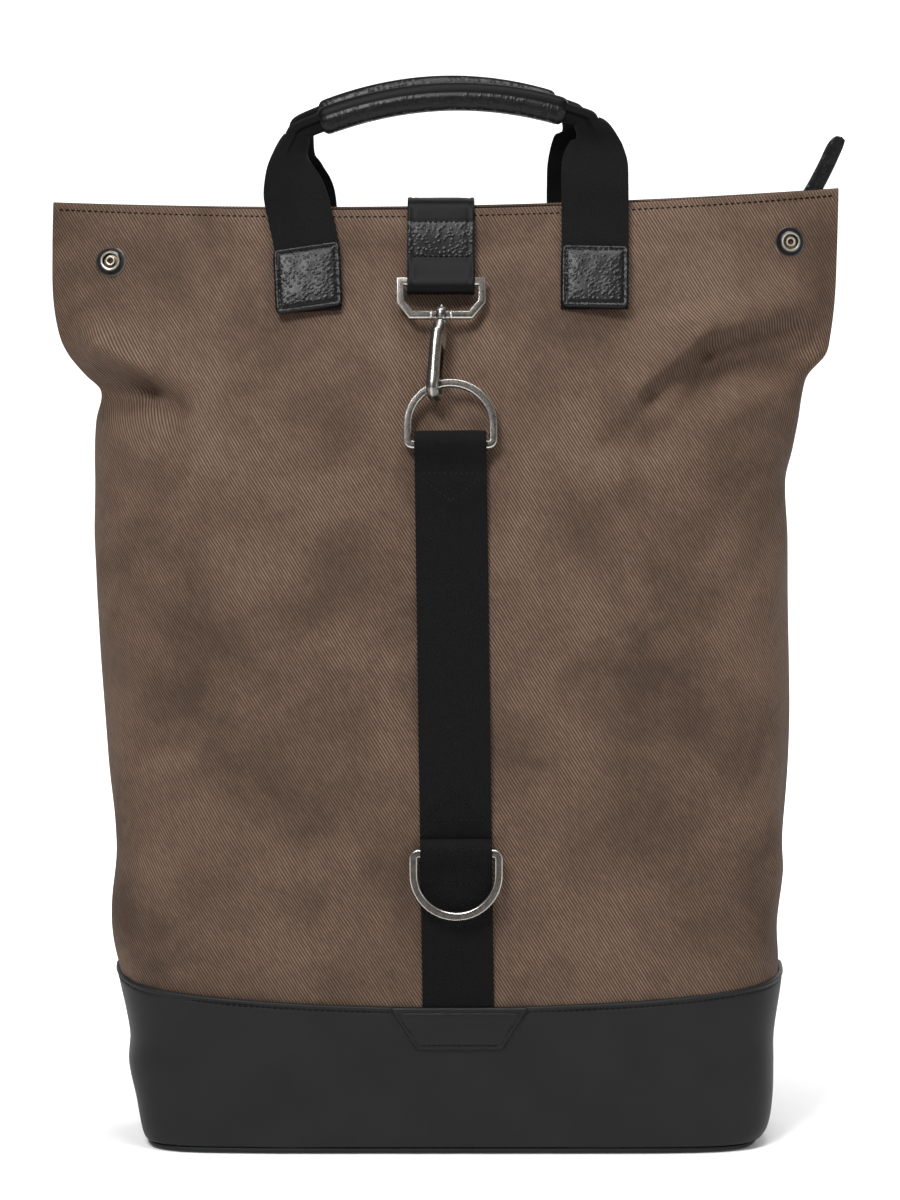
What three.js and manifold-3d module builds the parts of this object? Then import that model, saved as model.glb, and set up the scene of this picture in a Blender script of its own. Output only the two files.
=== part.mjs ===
// Convertible backpack: a canvas body on a leather base, with two grab handles, a front
// closure of rings and a swivel hook, and two shoulder straps on the back.
// Millimetres. +Z is up, the front faces -Y and +X is to the right of someone facing it.
// The origin is the middle of the flat bottom.

import * as THREE from 'three';
import { mergeVertices } from 'three/addons/utils/BufferGeometryUtils.js';
import Module from 'manifold-3d';

const wasm = await Module();
wasm.setup();

// Body
const bagHeight = 470.5;
const bodyWidth = 345;
const bodyDepth = 118;
const mouthRise = 7;
const frontSag = 7;
const backSag = 5;
const canvasWall = 2;
const leatherWall = 1.8;
const bottomWall = 2.5;
const seamMiddle = 74.5;
const seamSide = 88;
const seamLap = 12;
const sewnGap = 0.3;
const seamCalm = 0.9;

// Front straps and the closure over the mouth
const webThickness = 2;
const strapWidth = 35;
const strapDrift = 0.014;
const upperLoopX = 2.2;
const strapEndHeight = 75;
const closureWidth = 33;
const closureX = -2.4;
const closureLoopDrop = 41.5;
const closureTail = 45;
const foldLength = 28;
const lowerLoopHeight = 152;
const foldSettle = 5;
const seatStep = 16;

// Metalwork
const stockWidth = 4;
const stockThickness = 3.2;
const edgeBevel = 0.5;
const ringHeight = 35;
const ringPlay = 1.3;
const ringCorner = 1.5;
const loopClearance = 0.35;
const swivelWidth = 43.8;
const swivelDrop = 17;
const chamferAcross = 6.3;
const chamferUp = 7.6;
const bossRadius = 2.9;
const bossStep = 0.6;
const shaftRadius = 1.4;
const rivetRadius = 2.2;
const rivetHeight = 1.4;
const hookWidth = 6.4;
const hookBowRadius = 3.7;
const hookBowStock = 2.8;
const hookReach = 36.5;
const hookYaw = 15;
const hookLean = 4;
const hookForward = 1;
const hookBevel = 0.7;
const hookShoulder = 3;
const hookGateSeat = 2.2;
const hookGateCheek = 1.7;
const hookGateTop = 1.2;
const tipRise = 5;
const gateRise = 22;
const gateWidth = 3.6;
const gateThickness = 1.1;
const gatePinRadius = 0.7;
const gateClearance = 0.3;
const gateKnuckleWall = 0.8;
const gateSlotDepth = 9;
const gateSlotHeight = 7;
const snapRadius = 7.6;
const snapHeight = 2.4;
const snaps = [
  { name: 'left_press_snap', hand: -1, inset: 7.2, drop: 31.8 },
  { name: 'right_press_snap', hand: 1, inset: 2.7, drop: 22.3 },
];

// Handles
const handleWeb = 33;
const handleRise = 58;
const frontHandleSpan = 146;
const rearHandleSpan = 139;
const rearHandleShift = -3;
const rearHandleLift = 4;
const gripHeight = 14;
const gripDepth = 11;
const gripFold = 10;
const gripRise = 13.5;
const gripBack = 7.5;
const gripRoundness = 2.6;
const gripHollowRoundness = 4;
const gripFoldPlies = 1.8;
const gripPlay = 0.9;
const legSeat = 1.5;
const legTop = 4;
const patchWidth = 33;
const patchThickness = 1.8;

// Label, zip and shoulder straps
const labelTop = 68;
const labelBottom = 42;
const labelHeight = 21.5;
const labelX = 6.5;
const zipTapeHeight = 20;
const zipTapeThickness = 0.8;
const zipDrop = 6;
const zipTabWidth = 8;
const zipTabThickness = 2.2;
const zipTabLength = 30;
const zipGap = 0.5;
const zipReach = 0.8;
const zipSliderPlace = 0.9;
const zipSliderLength = 8;
const zipSliderHeight = 9;
const padWidth = 50;
const padThickness = 8;
const padTopDrop = 20.5;
const padBow = 44;
const lowerWebWidth = 25;
const anchorWidth = 96;
const adjusterWidth = 34;
const adjusterLength = 26;
const adjusterBar = 4;
const adjusterThickness = 3;
const tabHeight = 16;
const tabReach = 27;
const tabMiddle = 68;
const tabThickness = 2.5;
const tabShow = 4;
const webLanding = 14;
const webLift = 5;

// Cross sections from the bottom up. up is a share of bagHeight, left and right are shares
// of half the width, front and back are shares of half the depth. face and side are the
// powers of the outline: a high face keeps the panel flat, a side of 1 brings the two
// panels together in a sharp edge. edge is how far the two walls lie flat on each other.
const sections = [
  { up: 0.000, left: 0.845, right: 0.885, front: 0.81, back: 0.81, face: 8.0, side: 3.0, edge: 0 },
  { up: 0.017, left: 0.871, right: 0.920, front: 0.83, back: 0.83, face: 8.0, side: 3.0, edge: 0 },
  { up: 0.047, left: 0.891, right: 0.926, front: 0.85, back: 0.85, face: 7.5, side: 3.0, edge: 0 },
  { up: 0.085, left: 0.905, right: 0.929, front: 0.88, back: 0.87, face: 7.0, side: 3.0, edge: 0 },
  { up: 0.117, left: 0.900, right: 0.934, front: 0.91, back: 0.89, face: 6.4, side: 2.9, edge: 0 },
  { up: 0.187, left: 0.948, right: 0.966, front: 0.95, back: 0.92, face: 5.5, side: 2.8, edge: 0 },
  { up: 0.234, left: 0.965, right: 0.961, front: 0.97, back: 0.94, face: 5.0, side: 2.7, edge: 0 },
  { up: 0.319, left: 0.957, right: 0.977, front: 1.00, back: 0.97, face: 4.4, side: 2.6, edge: 0 },
  { up: 0.383, left: 0.974, right: 0.991, front: 1.01, back: 0.98, face: 4.0, side: 2.5, edge: 0 },
  { up: 0.447, left: 0.988, right: 0.997, front: 1.01, back: 0.98, face: 3.9, side: 2.4, edge: 0 },
  { up: 0.532, left: 1.003, right: 0.993, front: 0.99, back: 0.97, face: 3.8, side: 2.35, edge: 0 },
  { up: 0.638, left: 1.014, right: 0.986, front: 0.96, back: 0.94, face: 3.6, side: 2.3, edge: 0 },
  { up: 0.702, left: 1.013, right: 0.980, front: 0.92, back: 0.90, face: 3.5, side: 2.2, edge: 0 },
  { up: 0.734, left: 1.014, right: 1.000, front: 0.89, back: 0.86, face: 3.4, side: 2.1, edge: 0 },
  { up: 0.766, left: 1.009, right: 1.017, front: 0.84, back: 0.82, face: 3.2, side: 1.9, edge: 0.1 },
  { up: 0.796, left: 0.995, right: 1.029, front: 0.78, back: 0.76, face: 3.0, side: 1.6, edge: 0.4 },
  { up: 0.813, left: 1.040, right: 1.043, front: 0.74, back: 0.72, face: 2.9, side: 1.4, edge: 0.7 },
  { up: 0.834, left: 1.087, right: 1.093, front: 0.69, back: 0.67, face: 2.7, side: 1.25, edge: 0.9 },
  { up: 0.855, left: 1.113, right: 1.107, front: 0.63, back: 0.61, face: 2.6, side: 1.12, edge: 1 },
  { up: 0.894, left: 1.130, right: 1.119, front: 0.52, back: 0.50, face: 2.4, side: 1.04, edge: 1 },
  { up: 0.947, left: 1.131, right: 1.124, front: 0.35, back: 0.34, face: 2.2, side: 1, edge: 1 },
  { up: 1.000, left: 1.127, right: 1.127, front: 0.21, back: 0.21, face: 2.0, side: 1, edge: 1 },
];

// Folds and dents of the canvas. Each is a ridge between two points of the panel, across
// as a share of half bodyWidth and up as a share of bagHeight. wide is a share of half
// bodyWidth and high a share of bodyDepth, below 0 where the cloth is pressed in.
const frontFolds = [
  { x1: 1.10, z1: 0.885, x2: 0.72, z2: 0.842, wide: 0.085, high: 0.045 },
  { x1: 0.72, z1: 0.842, x2: 0.52, z2: 0.775, wide: 0.085, high: 0.050 },
  { x1: 0.52, z1: 0.775, x2: 0.44, z2: 0.710, wide: 0.090, high: 0.028 },
  { x1: 1.03, z1: 0.838, x2: 0.74, z2: 0.810, wide: 0.065, high: -0.055 },
  { x1: 0.74, z1: 0.810, x2: 0.56, z2: 0.745, wide: 0.075, high: -0.035 },
  { x1: 1.03, z1: 0.806, x2: 0.80, z2: 0.780, wide: 0.070, high: 0.026 },
  { x1: -1.12, z1: 0.900, x2: -0.98, z2: 0.838, wide: 0.080, high: 0.030 },
  { x1: -0.98, z1: 0.838, x2: -0.76, z2: 0.805, wide: 0.075, high: 0.030 },
  { x1: -1.01, z1: 0.797, x2: -0.78, z2: 0.785, wide: 0.065, high: -0.050 },
  { x1: 0.00, z1: 0.895, x2: 0.00, z2: 0.790, wide: 0.140, high: -0.080 },
  { x1: 0.30, z1: 0.900, x2: 0.24, z2: 0.830, wide: 0.110, high: 0.020 },
  { x1: -0.93, z1: 0.470, x2: -0.62, z2: 0.385, wide: 0.100, high: -0.022 },
  { x1: -0.30, z1: 0.410, x2: 0.05, z2: 0.385, wide: 0.160, high: 0.016 },
  { x1: 0.95, z1: 0.550, x2: 0.66, z2: 0.480, wide: 0.110, high: -0.020 },
  { x1: 0.93, z1: 0.290, x2: 0.86, z2: 0.205, wide: 0.060, high: 0.020 },
];
const backFolds = [
  { x1: 1.02, z1: 0.830, x2: 0.62, z2: 0.775, wide: 0.090, high: -0.040 },
  { x1: -1.02, z1: 0.825, x2: -0.66, z2: 0.780, wide: 0.090, high: -0.040 },
  { x1: -0.80, z1: 0.450, x2: -0.40, z2: 0.380, wide: 0.140, high: -0.020 },
  { x1: 0.30, z1: 0.330, x2: 0.75, z2: 0.270, wide: 0.140, high: -0.020 },
];
const baseFolds = [
  { x1: -0.74, z1: 0.075, x2: -0.62, z2: 0.045, wide: 0.090, high: -0.022 },
  { x1: 0.55, z1: 0.120, x2: 0.80, z2: 0.070, wide: 0.120, high: 0.012 },
];

// Handle legs from the lower end up to the grip. across is a share of half the handle's
// span, up is a share of handleRise above the mouth and wide is a share of handleWeb.
const leftLeg = [
  { across: -0.915, up: -0.86, wide: 0.96 },
  { across: -0.940, up: -0.62, wide: 0.96 },
  { across: -0.975, up: -0.32, wide: 0.96 },
  { across: -1.010, up: -0.04, wide: 0.96 },
  { across: -1.035, up: 0.16, wide: 0.90 },
  { across: -1.050, up: 0.33, wide: 0.72 },
  { across: -1.045, up: 0.47, wide: 0.52 },
  { across: -1.010, up: 0.59, wide: 0.40 },
];
const rightLeg = [
  { across: 0.955, up: 0.72, wide: 0.40 },
  { across: 0.992, up: 0.64, wide: 0.60 },
  { across: 1.003, up: 0.54, wide: 0.82 },
  { across: 1.004, up: 0.40, wide: 0.98 },
  { across: 1.004, up: 0.20, wide: 1.00 },
  { across: 1.004, up: -0.04, wide: 1.00 },
  { across: 1.002, up: -0.32, wide: 1.00 },
  { across: 0.994, up: -0.60, wide: 1.00 },
  { across: 0.994, up: -0.84, wide: 1.00 },
];
const gripEnds = [{ across: -0.975, up: 0.665 }, { across: 0.935, up: 0.765 }];
const gripSteps = 14;
const handles = [
  { name: 'front', side: -1, halfSpan: frontHandleSpan / 2, centre: 0, lift: 0 },
  {
    name: 'rear',
    side: 1,
    halfSpan: rearHandleSpan / 2,
    centre: rearHandleShift,
    lift: rearHandleLift,
  },
];

// Shoulder strap of one side from its top end down. across is a share of half bodyWidth,
// out is a share of padBow away from the back, up is a share of padTopHeight.
const padPath = [
  { across: 0.150, out: 0.00, up: 1.000, wide: 0.84, thick: 0.36 },
  { across: 0.160, out: 0.00, up: 0.965, wide: 0.84, thick: 0.36 },
  { across: 0.165, out: 0.00, up: 0.945, wide: 0.84, thick: 0.36 },
  { across: 0.185, out: 0.10, up: 0.915, wide: 0.86, thick: 0.70 },
  { across: 0.235, out: 0.50, up: 0.860, wide: 0.94, thick: 1.00 },
  { across: 0.320, out: 0.90, up: 0.760, wide: 1.00, thick: 1.00 },
  { across: 0.410, out: 1.00, up: 0.640, wide: 1.00, thick: 1.00 },
  { across: 0.490, out: 0.95, up: 0.540, wide: 0.90, thick: 1.00 },
  { across: 0.545, out: 0.84, up: 0.475, wide: 0.66, thick: 0.80 },
];
const lowerWebPath = [
  { across: 0.670, out: 0.62, up: 0.345 },
  { across: 0.760, out: 0.30, up: 0.262 },
];

// Leather end of the zip. across is a share of half bodyWidth, up a share of zipTabLength
// above the mouth and wide a share of zipTabWidth.
const zipTabPath = [
  { across: 0.965, up: -0.60, wide: 0.8 },
  { across: 1.015, up: -0.20, wide: 0.9 },
  { across: 1.055, up: 0.12, wide: 1 },
  { across: 1.090, up: 0.50, wide: 1 },
  { across: 1.118, up: 0.84, wide: 0.95 },
  { across: 1.140, up: 0.96, wide: 0.6 },
];

// Panel meshes
const frontColumns = 28;
const backColumns = 20;
const lowerRows = 9;
const upperRows = 16;
const backLowerRows = 6;
const backUpperRows = 11;
const baseRows = 5;
const rowBreak = 0.66;

const halfWidth = bodyWidth / 2;
const padTopHeight = bagHeight - closureTail - padTopDrop;
const halfDepth = bodyDepth / 2;
const halfGap = sewnGap / 2;
const degree = Math.PI / 180;
const front = -1;
const back = 1;

const finishes = {
  canvas: { color: 0x6b5446, roughness: 0.82, metalness: 0 },
  baseLeather: { color: 0x2a2b2c, roughness: 0.6, metalness: 0 },
  grainLeather: { color: 0x1b1c1f, roughness: 0.45, metalness: 0 },
  webbing: { color: 0x141414, roughness: 0.85, metalness: 0 },
  padding: { color: 0x1a1a1b, roughness: 0.9, metalness: 0 },
  nickel: { color: 0x8d8a84, roughness: 0.32, metalness: 1 },
};

// Geometry helpers

function lerp(a, b, share) {
  return a + (b - a) * share;
}

// Smooth value of one column at height `up`, by a cubic through the rows whose slopes are
// those of the neighbouring rows.
function columnAt(rows, key, up) {
  const last = rows.length - 1;
  const at = Math.min(Math.max(up, rows[0].up), rows[last].up);
  let i = 0;
  while (i < last - 1 && rows[i + 1].up < at) i += 1;
  const slope = (k) => {
    const lo = rows[Math.max(k - 1, 0)];
    const hi = rows[Math.min(k + 1, last)];
    return (hi[key] - lo[key]) / (hi.up - lo.up);
  };
  const span = rows[i + 1].up - rows[i].up;
  const t = (at - rows[i].up) / span;
  const rise = rows[i + 1][key] - rows[i][key];
  const m0 = slope(i) * span;
  const m1 = slope(i + 1) * span;
  return rows[i][key] + m0 * t + (3 * rise - 2 * m0 - m1) * t * t + (m0 + m1 - 2 * rise) * t ** 3;
}

// Closed geometry from points and triangles, turned so that its faces point out.
function closedGeometry(points, triangles) {
  let volume = 0;
  for (const [a, b, c] of triangles) {
    const cross = new THREE.Vector3().crossVectors(points[b], points[c]);
    volume += points[a].dot(cross);
  }
  const order = volume < 0 ? ([a, b, c]) => [a, c, b] : (t) => t;
  const geometry = new THREE.BufferGeometry();
  const places = points.flatMap((point) => point.toArray());
  geometry.setAttribute('position', new THREE.Float32BufferAttribute(places, 3));
  geometry.setIndex(triangles.flatMap(order));
  return geometry;
}

// Wall between two grids of points with the same rows and columns, closed round the rim.
function wallBetween(outer, inner) {
  const rows = outer.length;
  const columns = outer[0].length;
  const points = [...outer.flat(), ...inner.flat()];
  const at = (layer, r, c) => (layer * rows + r) * columns + c;
  const triangles = [];
  const quad = (a, b, c, d) => triangles.push([a, b, c], [a, c, d]);
  for (let r = 0; r < rows - 1; r += 1) {
    for (let c = 0; c < columns - 1; c += 1) {
      quad(at(0, r, c), at(0, r, c + 1), at(0, r + 1, c + 1), at(0, r + 1, c));
      quad(at(1, r, c), at(1, r + 1, c), at(1, r + 1, c + 1), at(1, r, c + 1));
    }
    quad(at(0, r, 0), at(0, r + 1, 0), at(1, r + 1, 0), at(1, r, 0));
    const end = columns - 1;
    quad(at(0, r, end), at(1, r, end), at(1, r + 1, end), at(0, r + 1, end));
  }
  for (let c = 0; c < columns - 1; c += 1) {
    quad(at(0, 0, c), at(1, 0, c), at(1, 0, c + 1), at(0, 0, c + 1));
    quad(at(0, rows - 1, c), at(0, rows - 1, c + 1), at(1, rows - 1, c + 1), at(1, rows - 1, c));
  }
  return closedGeometry(points, triangles);
}

// Solid through a row of rings with the same number of points, with flat ends.
function solidThrough(rings) {
  const count = rings[0].length;
  const points = rings.flat();
  const triangles = [];
  for (let r = 0; r < rings.length - 1; r += 1) {
    for (let k = 0; k < count; k += 1) {
      const next = (k + 1) % count;
      const [a, b] = [r * count + k, r * count + next];
      triangles.push([a, b, b + count], [a, b + count, a + count]);
    }
  }
  const end = (rings.length - 1) * count;
  for (let k = 1; k < count - 1; k += 1) {
    triangles.push([0, k + 1, k], [end, end + k, end + k + 1]);
  }
  return closedGeometry(points, triangles);
}

// Sleeve: outer and inner rings along a path, joined by flat rims at both ends.
function sleeveThrough(outerRings, innerRings) {
  const rows = outerRings.length;
  const count = outerRings[0].length;
  const points = [...outerRings.flat(), ...innerRings.flat()];
  const at = (layer, r, k) => (layer * rows + r) * count + (k % count);
  const triangles = [];
  const quad = (a, b, c, d) => triangles.push([a, b, c], [a, c, d]);
  for (let k = 0; k < count; k += 1) {
    for (let r = 0; r < rows - 1; r += 1) {
      quad(at(0, r, k), at(0, r, k + 1), at(0, r + 1, k + 1), at(0, r + 1, k));
      quad(at(1, r, k), at(1, r + 1, k), at(1, r + 1, k + 1), at(1, r, k + 1));
    }
    quad(at(0, 0, k), at(1, 0, k), at(1, 0, k + 1), at(0, 0, k + 1));
    quad(at(0, rows - 1, k), at(0, rows - 1, k + 1), at(1, rows - 1, k + 1), at(1, rows - 1, k));
  }
  return closedGeometry(points, triangles);
}

function bare(geometry) {
  const plain = geometry.clone();
  plain.deleteAttribute('normal');
  plain.deleteAttribute('uv');
  return mergeVertices(plain, 1e-4);
}

function toManifold(geometry) {
  const merged = bare(geometry);
  return new wasm.Manifold(new wasm.Mesh({
    numProp: 3,
    vertProperties: new Float32Array(merged.attributes.position.array),
    triVerts: new Uint32Array(merged.index.array),
  }));
}

function fromManifold(solid) {
  const result = solid.getMesh();
  const geometry = new THREE.BufferGeometry();
  geometry.setAttribute('position', new THREE.BufferAttribute(result.vertProperties, 3));
  geometry.setIndex(new THREE.BufferAttribute(result.triVerts, 1));
  return geometry;
}

const bag = new THREE.Group();

function addPiece(name, geometry, finish, parent = bag) {
  const plain = bare(geometry);
  plain.computeVertexNormals();
  const mesh = new THREE.Mesh(plain, new THREE.MeshStandardMaterial(finishes[finish]));
  mesh.name = name;
  parent.add(mesh);
  return mesh;
}

// Extruded outline in the XZ plane, centred on y = 0.
function plateXZ(shape, thickness, bevel, curveSegments = 8) {
  const geometry = new THREE.ExtrudeGeometry(shape, {
    depth: thickness - 2 * bevel,
    bevelEnabled: bevel > 0,
    bevelThickness: bevel,
    bevelSize: bevel,
    bevelOffset: -bevel,
    bevelSegments: 1,
    curveSegments,
  });
  geometry.translate(0, 0, bevel - thickness / 2);
  geometry.rotateX(Math.PI / 2);
  return geometry;
}

// Extruded outline in the YZ plane, centred on x = 0. The outline's x is the model's y.
function plateYZ(shape, width, bevel = 0, curveSegments = 8) {
  const geometry = plateXZ(shape, width, bevel, curveSegments);
  geometry.rotateZ(Math.PI / 2);
  return geometry;
}

// Bag surface

// One half of a section's outline, from the middle of the panel to the side seam, as
// points with their distance along it. With t from 0 to 90 degrees, x is the half width
// times sin t to the power 2 / face and y is the depth times cos t to the power 2 / side.
function halfOutline(up, side, hand) {
  const reach = halfWidth * columnAt(sections, hand < 0 ? 'left' : 'right', up);
  const depth = halfDepth * columnAt(sections, side === front ? 'front' : 'back', up);
  const face = columnAt(sections, 'face', up);
  const power = columnAt(sections, 'side', up);
  const seam = halfGap + canvasWall * columnAt(sections, 'edge', up);
  const steps = 72;
  const outline = [];
  let length = 0;
  for (let i = 0; i <= steps; i += 1) {
    const t = (i / steps) * (Math.PI / 2);
    const x = reach * Math.min(Math.sin(t), 1) ** (2 / face);
    const y = seam + depth * Math.max(Math.cos(t), 0) ** (2 / power);
    if (i > 0) length += Math.hypot(x - outline[i - 1].x, y - outline[i - 1].y);
    outline.push({ x, y, length });
  }
  return outline;
}

// Height added to the panel at one place by the folds: a bell across each ridge line.
function foldHeight(folds, x, z) {
  let height = 0;
  for (const fold of folds) {
    const start = new THREE.Vector2(fold.x1 * halfWidth, fold.z1 * bagHeight);
    const run = new THREE.Vector2(fold.x2 * halfWidth, fold.z2 * bagHeight).sub(start);
    const from = new THREE.Vector2(x, z).sub(start);
    const share = THREE.MathUtils.clamp(from.dot(run) / run.lengthSq(), 0, 1);
    const away = from.addScaledVector(run, -share).length() / (fold.wide * halfWidth);
    height += fold.high * bodyDepth * Math.exp(-away * away);
  }
  return height;
}

// Point of the canvas's outer face, moved out by `offset` along the section's normal.
// across runs from -1 at the left seam to 1 at the right seam, in equal lengths of cloth.
// The folds fade out past seamCalm of the way to a side seam.
function bagPoint(side, across, z, offset, folds) {
  const hand = across < 0 ? -1 : 1;
  const outline = halfOutline(z / bagHeight, side, hand);
  const wanted = Math.abs(across) * outline[outline.length - 1].length;
  let i = 1;
  while (i < outline.length - 1 && outline[i].length < wanted) i += 1;
  const [a, b] = [outline[i - 1], outline[i]];
  const share = (wanted - a.length) / (b.length - a.length);
  const normal = new THREE.Vector2(a.y - b.y, b.x - a.x).normalize();
  const x = lerp(a.x, b.x, share);
  const calm = 1 - THREE.MathUtils.smoothstep(Math.abs(across), seamCalm, 1);
  const away = offset + foldHeight(folds, hand * x, z) * calm;
  const y = Math.max(lerp(a.y, b.y, share) + normal.y * away, halfGap);
  return new THREE.Vector3(hand * (x + normal.x * away), side * y, z);
}

function seamHeight(across) {
  return lerp(seamMiddle, seamSide, across * across);
}

function mouthHeight(side, across) {
  const sag = side === front ? frontSag : backSag;
  return bagHeight + (mouthRise / 2) * across - sag * (1 - across * across);
}

// Share of a panel's height at each row, closer together above rowBreak.
function rowShares(below, above) {
  const shares = [];
  for (let r = 0; r < below; r += 1) shares.push((rowBreak * r) / below);
  for (let r = 0; r <= above; r += 1) shares.push(lerp(rowBreak, 1, r / above));
  return shares;
}

function panelGrid(side, columns, shares, lowest, highest, offset, folds) {
  return shares.map((share) => {
    const row = [];
    for (let c = 0; c <= columns; c += 1) {
      const across = (2 * c) / columns - 1;
      row.push(bagPoint(side, across, lerp(lowest(across), highest(across), share), offset, folds));
    }
    return row;
  });
}

function canvasPanel(name, side, columns, shares, folds) {
  const lowest = (across) => seamHeight(across) - seamLap;
  const highest = (across) => mouthHeight(side, across);
  const outer = panelGrid(side, columns, shares, lowest, highest, 0, folds);
  const inner = panelGrid(side, columns, shares, lowest, highest, -canvasWall, folds);
  inner.forEach((row) => [row[0], row[columns]].forEach((end) => end.setY(side * halfGap)));
  addPiece(name, wallBetween(outer, inner), 'canvas');
  return outer;
}

function leatherPanel(name, side, columns) {
  const shares = Array.from({ length: baseRows + 1 }, (_, r) => r / baseRows);
  const lowest = () => bottomWall + sewnGap;
  const outset = sewnGap + leatherWall;
  const outer = panelGrid(side, columns, shares, lowest, seamHeight, outset, baseFolds);
  const inner = panelGrid(side, columns, shares, lowest, seamHeight, sewnGap, baseFolds);
  [outer, inner].forEach((grid) => grid.forEach((row) => {
    [row[0], row[columns]].forEach((end) => end.setY(side * halfGap));
  }));
  addPiece(name, wallBetween(outer, inner), 'baseLeather');
  return outer;
}

const frontRows = rowShares(lowerRows, upperRows);
const backRows = rowShares(backLowerRows, backUpperRows);
const frontGrid = canvasPanel('front_canvas_panel', front, frontColumns, frontRows, frontFolds);
const backGrid = canvasPanel('back_canvas_panel', back, backColumns, backRows, backFolds);
const baseFrontGrid = leatherPanel('leather_front_panel', front, frontColumns);
const baseBackGrid = leatherPanel('leather_back_panel', back, backColumns);

// Flat bottom, as wide as the leather walls that stand on it.
function bottomPanel() {
  const outset = sewnGap + leatherWall;
  const rim = (side, columns, turn) => Array.from({ length: columns }, (_, c) => {
    const point = bagPoint(side, turn * (1 - (2 * c) / columns), 0, outset, []);
    return new THREE.Vector2(point.x, point.y);
  });
  const outline = new THREE.Shape([...rim(front, frontColumns, -1), ...rim(back, backColumns, 1)]);
  const geometry = new THREE.ExtrudeGeometry(outline, { depth: bottomWall, bevelEnabled: false });
  addPiece('bottom_panel', geometry, 'baseLeather');
}

// Seats on the panels

// Distance from y = 0 of a panel's outer face at (x, z), on the panel's own triangles.
function faceDepth(grid, x, z) {
  for (let r = 0; r < grid.length - 1; r += 1) {
    for (let c = 0; c < grid[0].length - 1; c += 1) {
      const corners = [grid[r][c], grid[r][c + 1], grid[r + 1][c + 1], grid[r + 1][c]];
      for (const [i, j, k] of [[0, 1, 2], [0, 2, 3]]) {
        const [a, b, d] = [corners[i], corners[j], corners[k]];
        const area = (b.x - a.x) * (d.z - a.z) - (d.x - a.x) * (b.z - a.z);
        const u = ((x - a.x) * (d.z - a.z) - (d.x - a.x) * (z - a.z)) / area;
        const v = ((b.x - a.x) * (z - a.z) - (x - a.x) * (b.z - a.z)) / area;
        const inside = u > -1e-6 && v > -1e-6 && u + v < 1 + 1e-6;
        if (inside) return Math.abs(a.y + u * (b.y - a.y) + v * (d.y - a.y));
      }
    }
  }
  return 0;
}

// Greatest depth of a panel under a patch of the given half sizes round (x, z).
function seatDepth(grid, x, z, halfAcross, halfUp) {
  let depth = 0;
  for (const dx of [-1, -0.5, 0, 0.5, 1]) {
    for (const dz of [-1, -0.5, 0, 0.5, 1]) {
      depth = Math.max(depth, faceDepth(grid, x + dx * halfAcross, z + dz * halfUp));
    }
  }
  return depth;
}

// Plane that touches a panel from outside over the same patch: a point of it and the
// direction that it faces.
function seatPlane(grid, side, x, z, halfAcross, halfUp) {
  const at = (dx, dz) => new THREE.Vector3(x + dx, side * faceDepth(grid, x + dx, z + dz), z + dz);
  const across = at(halfAcross, 0).sub(at(-halfAcross, 0));
  const up = at(0, halfUp).sub(at(0, -halfUp));
  const normal = across.cross(up).normalize();
  if (normal.y * side < 0) normal.negate();
  const point = at(0, 0);
  let lift = 0;
  for (const dx of [-1, -0.5, 0, 0.5, 1]) {
    for (const dz of [-1, -0.5, 0, 0.5, 1]) {
      const away = at(dx * halfAcross, dz * halfUp).sub(point).dot(normal);
      lift = Math.max(lift, away);
    }
  }
  return { point: point.addScaledVector(normal, lift + sewnGap), normal };
}

// Bands

// Flat band through a row of stations { point, width, thick }. sideways gives the band's
// width direction from its direction of travel.
function bandRings(stations, sideways) {
  return stations.map(({ point, width, thick, shift = 0 }, i) => {
    const before = stations[Math.max(i - 1, 0)].point;
    const after = stations[Math.min(i + 1, stations.length - 1)].point;
    const along = after.clone().sub(before).normalize();
    const across = sideways(along).normalize();
    const normal = across.clone().cross(along).normalize();
    const corner = (u, v) => point.clone().addScaledVector(across, (u * width) / 2)
      .addScaledVector(normal, shift + (v * thick) / 2);
    return [corner(-1, -1), corner(1, -1), corner(1, 1), corner(-1, 1)];
  });
}

const inFrontPlane = (along) => new THREE.Vector3(along.z, 0, -along.x);
const acrossBack = (along) => new THREE.Vector3(1, 0, 0).addScaledVector(along, -along.x);

// Ring of a rounded section, with its power, round a point of a path.
function roundedRing(point, across, normal, halfAcross, halfDeep, power) {
  const count = 12;
  return Array.from({ length: count }, (_, k) => {
    const angle = ((k + 0.5) / count) * 2 * Math.PI;
    const u = Math.sign(Math.cos(angle)) * Math.abs(Math.cos(angle)) ** (2 / power);
    const v = Math.sign(Math.sin(angle)) * Math.abs(Math.sin(angle)) ** (2 / power);
    return point.clone().addScaledVector(across, u * halfAcross).addScaledVector(normal, v * halfDeep);
  });
}

// Rings, swivel and hook

const ringWidth = strapWidth + 2 * (stockWidth + ringPlay);
const ringRadius = ringWidth / 2;
const barSwing = Math.hypot(stockWidth, stockThickness) / 2 + loopClearance;
const loopRadius = barSwing + webThickness;
const hookDrop = hookReach * Math.sin(hookLean * degree);
const ringOffset = upperLoopX - closureX + hookDrop;
const ringInner = ringRadius - stockWidth;
const ringLow = Math.sqrt(ringInner ** 2 - (ringOffset + hookWidth / 2) ** 2);
const ringCentreDrop = hookReach + hookBowRadius * 0.91 - sewnGap + ringLow;
const ringBarDrop = ringHeight - ringRadius - stockWidth / 2;
const closureToRing = swivelDrop + ringCentreDrop + ringBarDrop;

// Depth of a loop's bar, whose webbing lies on the front panel.
function barDepth(x, z, width) {
  return seatDepth(frontGrid, x, z, width / 2, loopRadius) + sewnGap + loopRadius;
}

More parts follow.
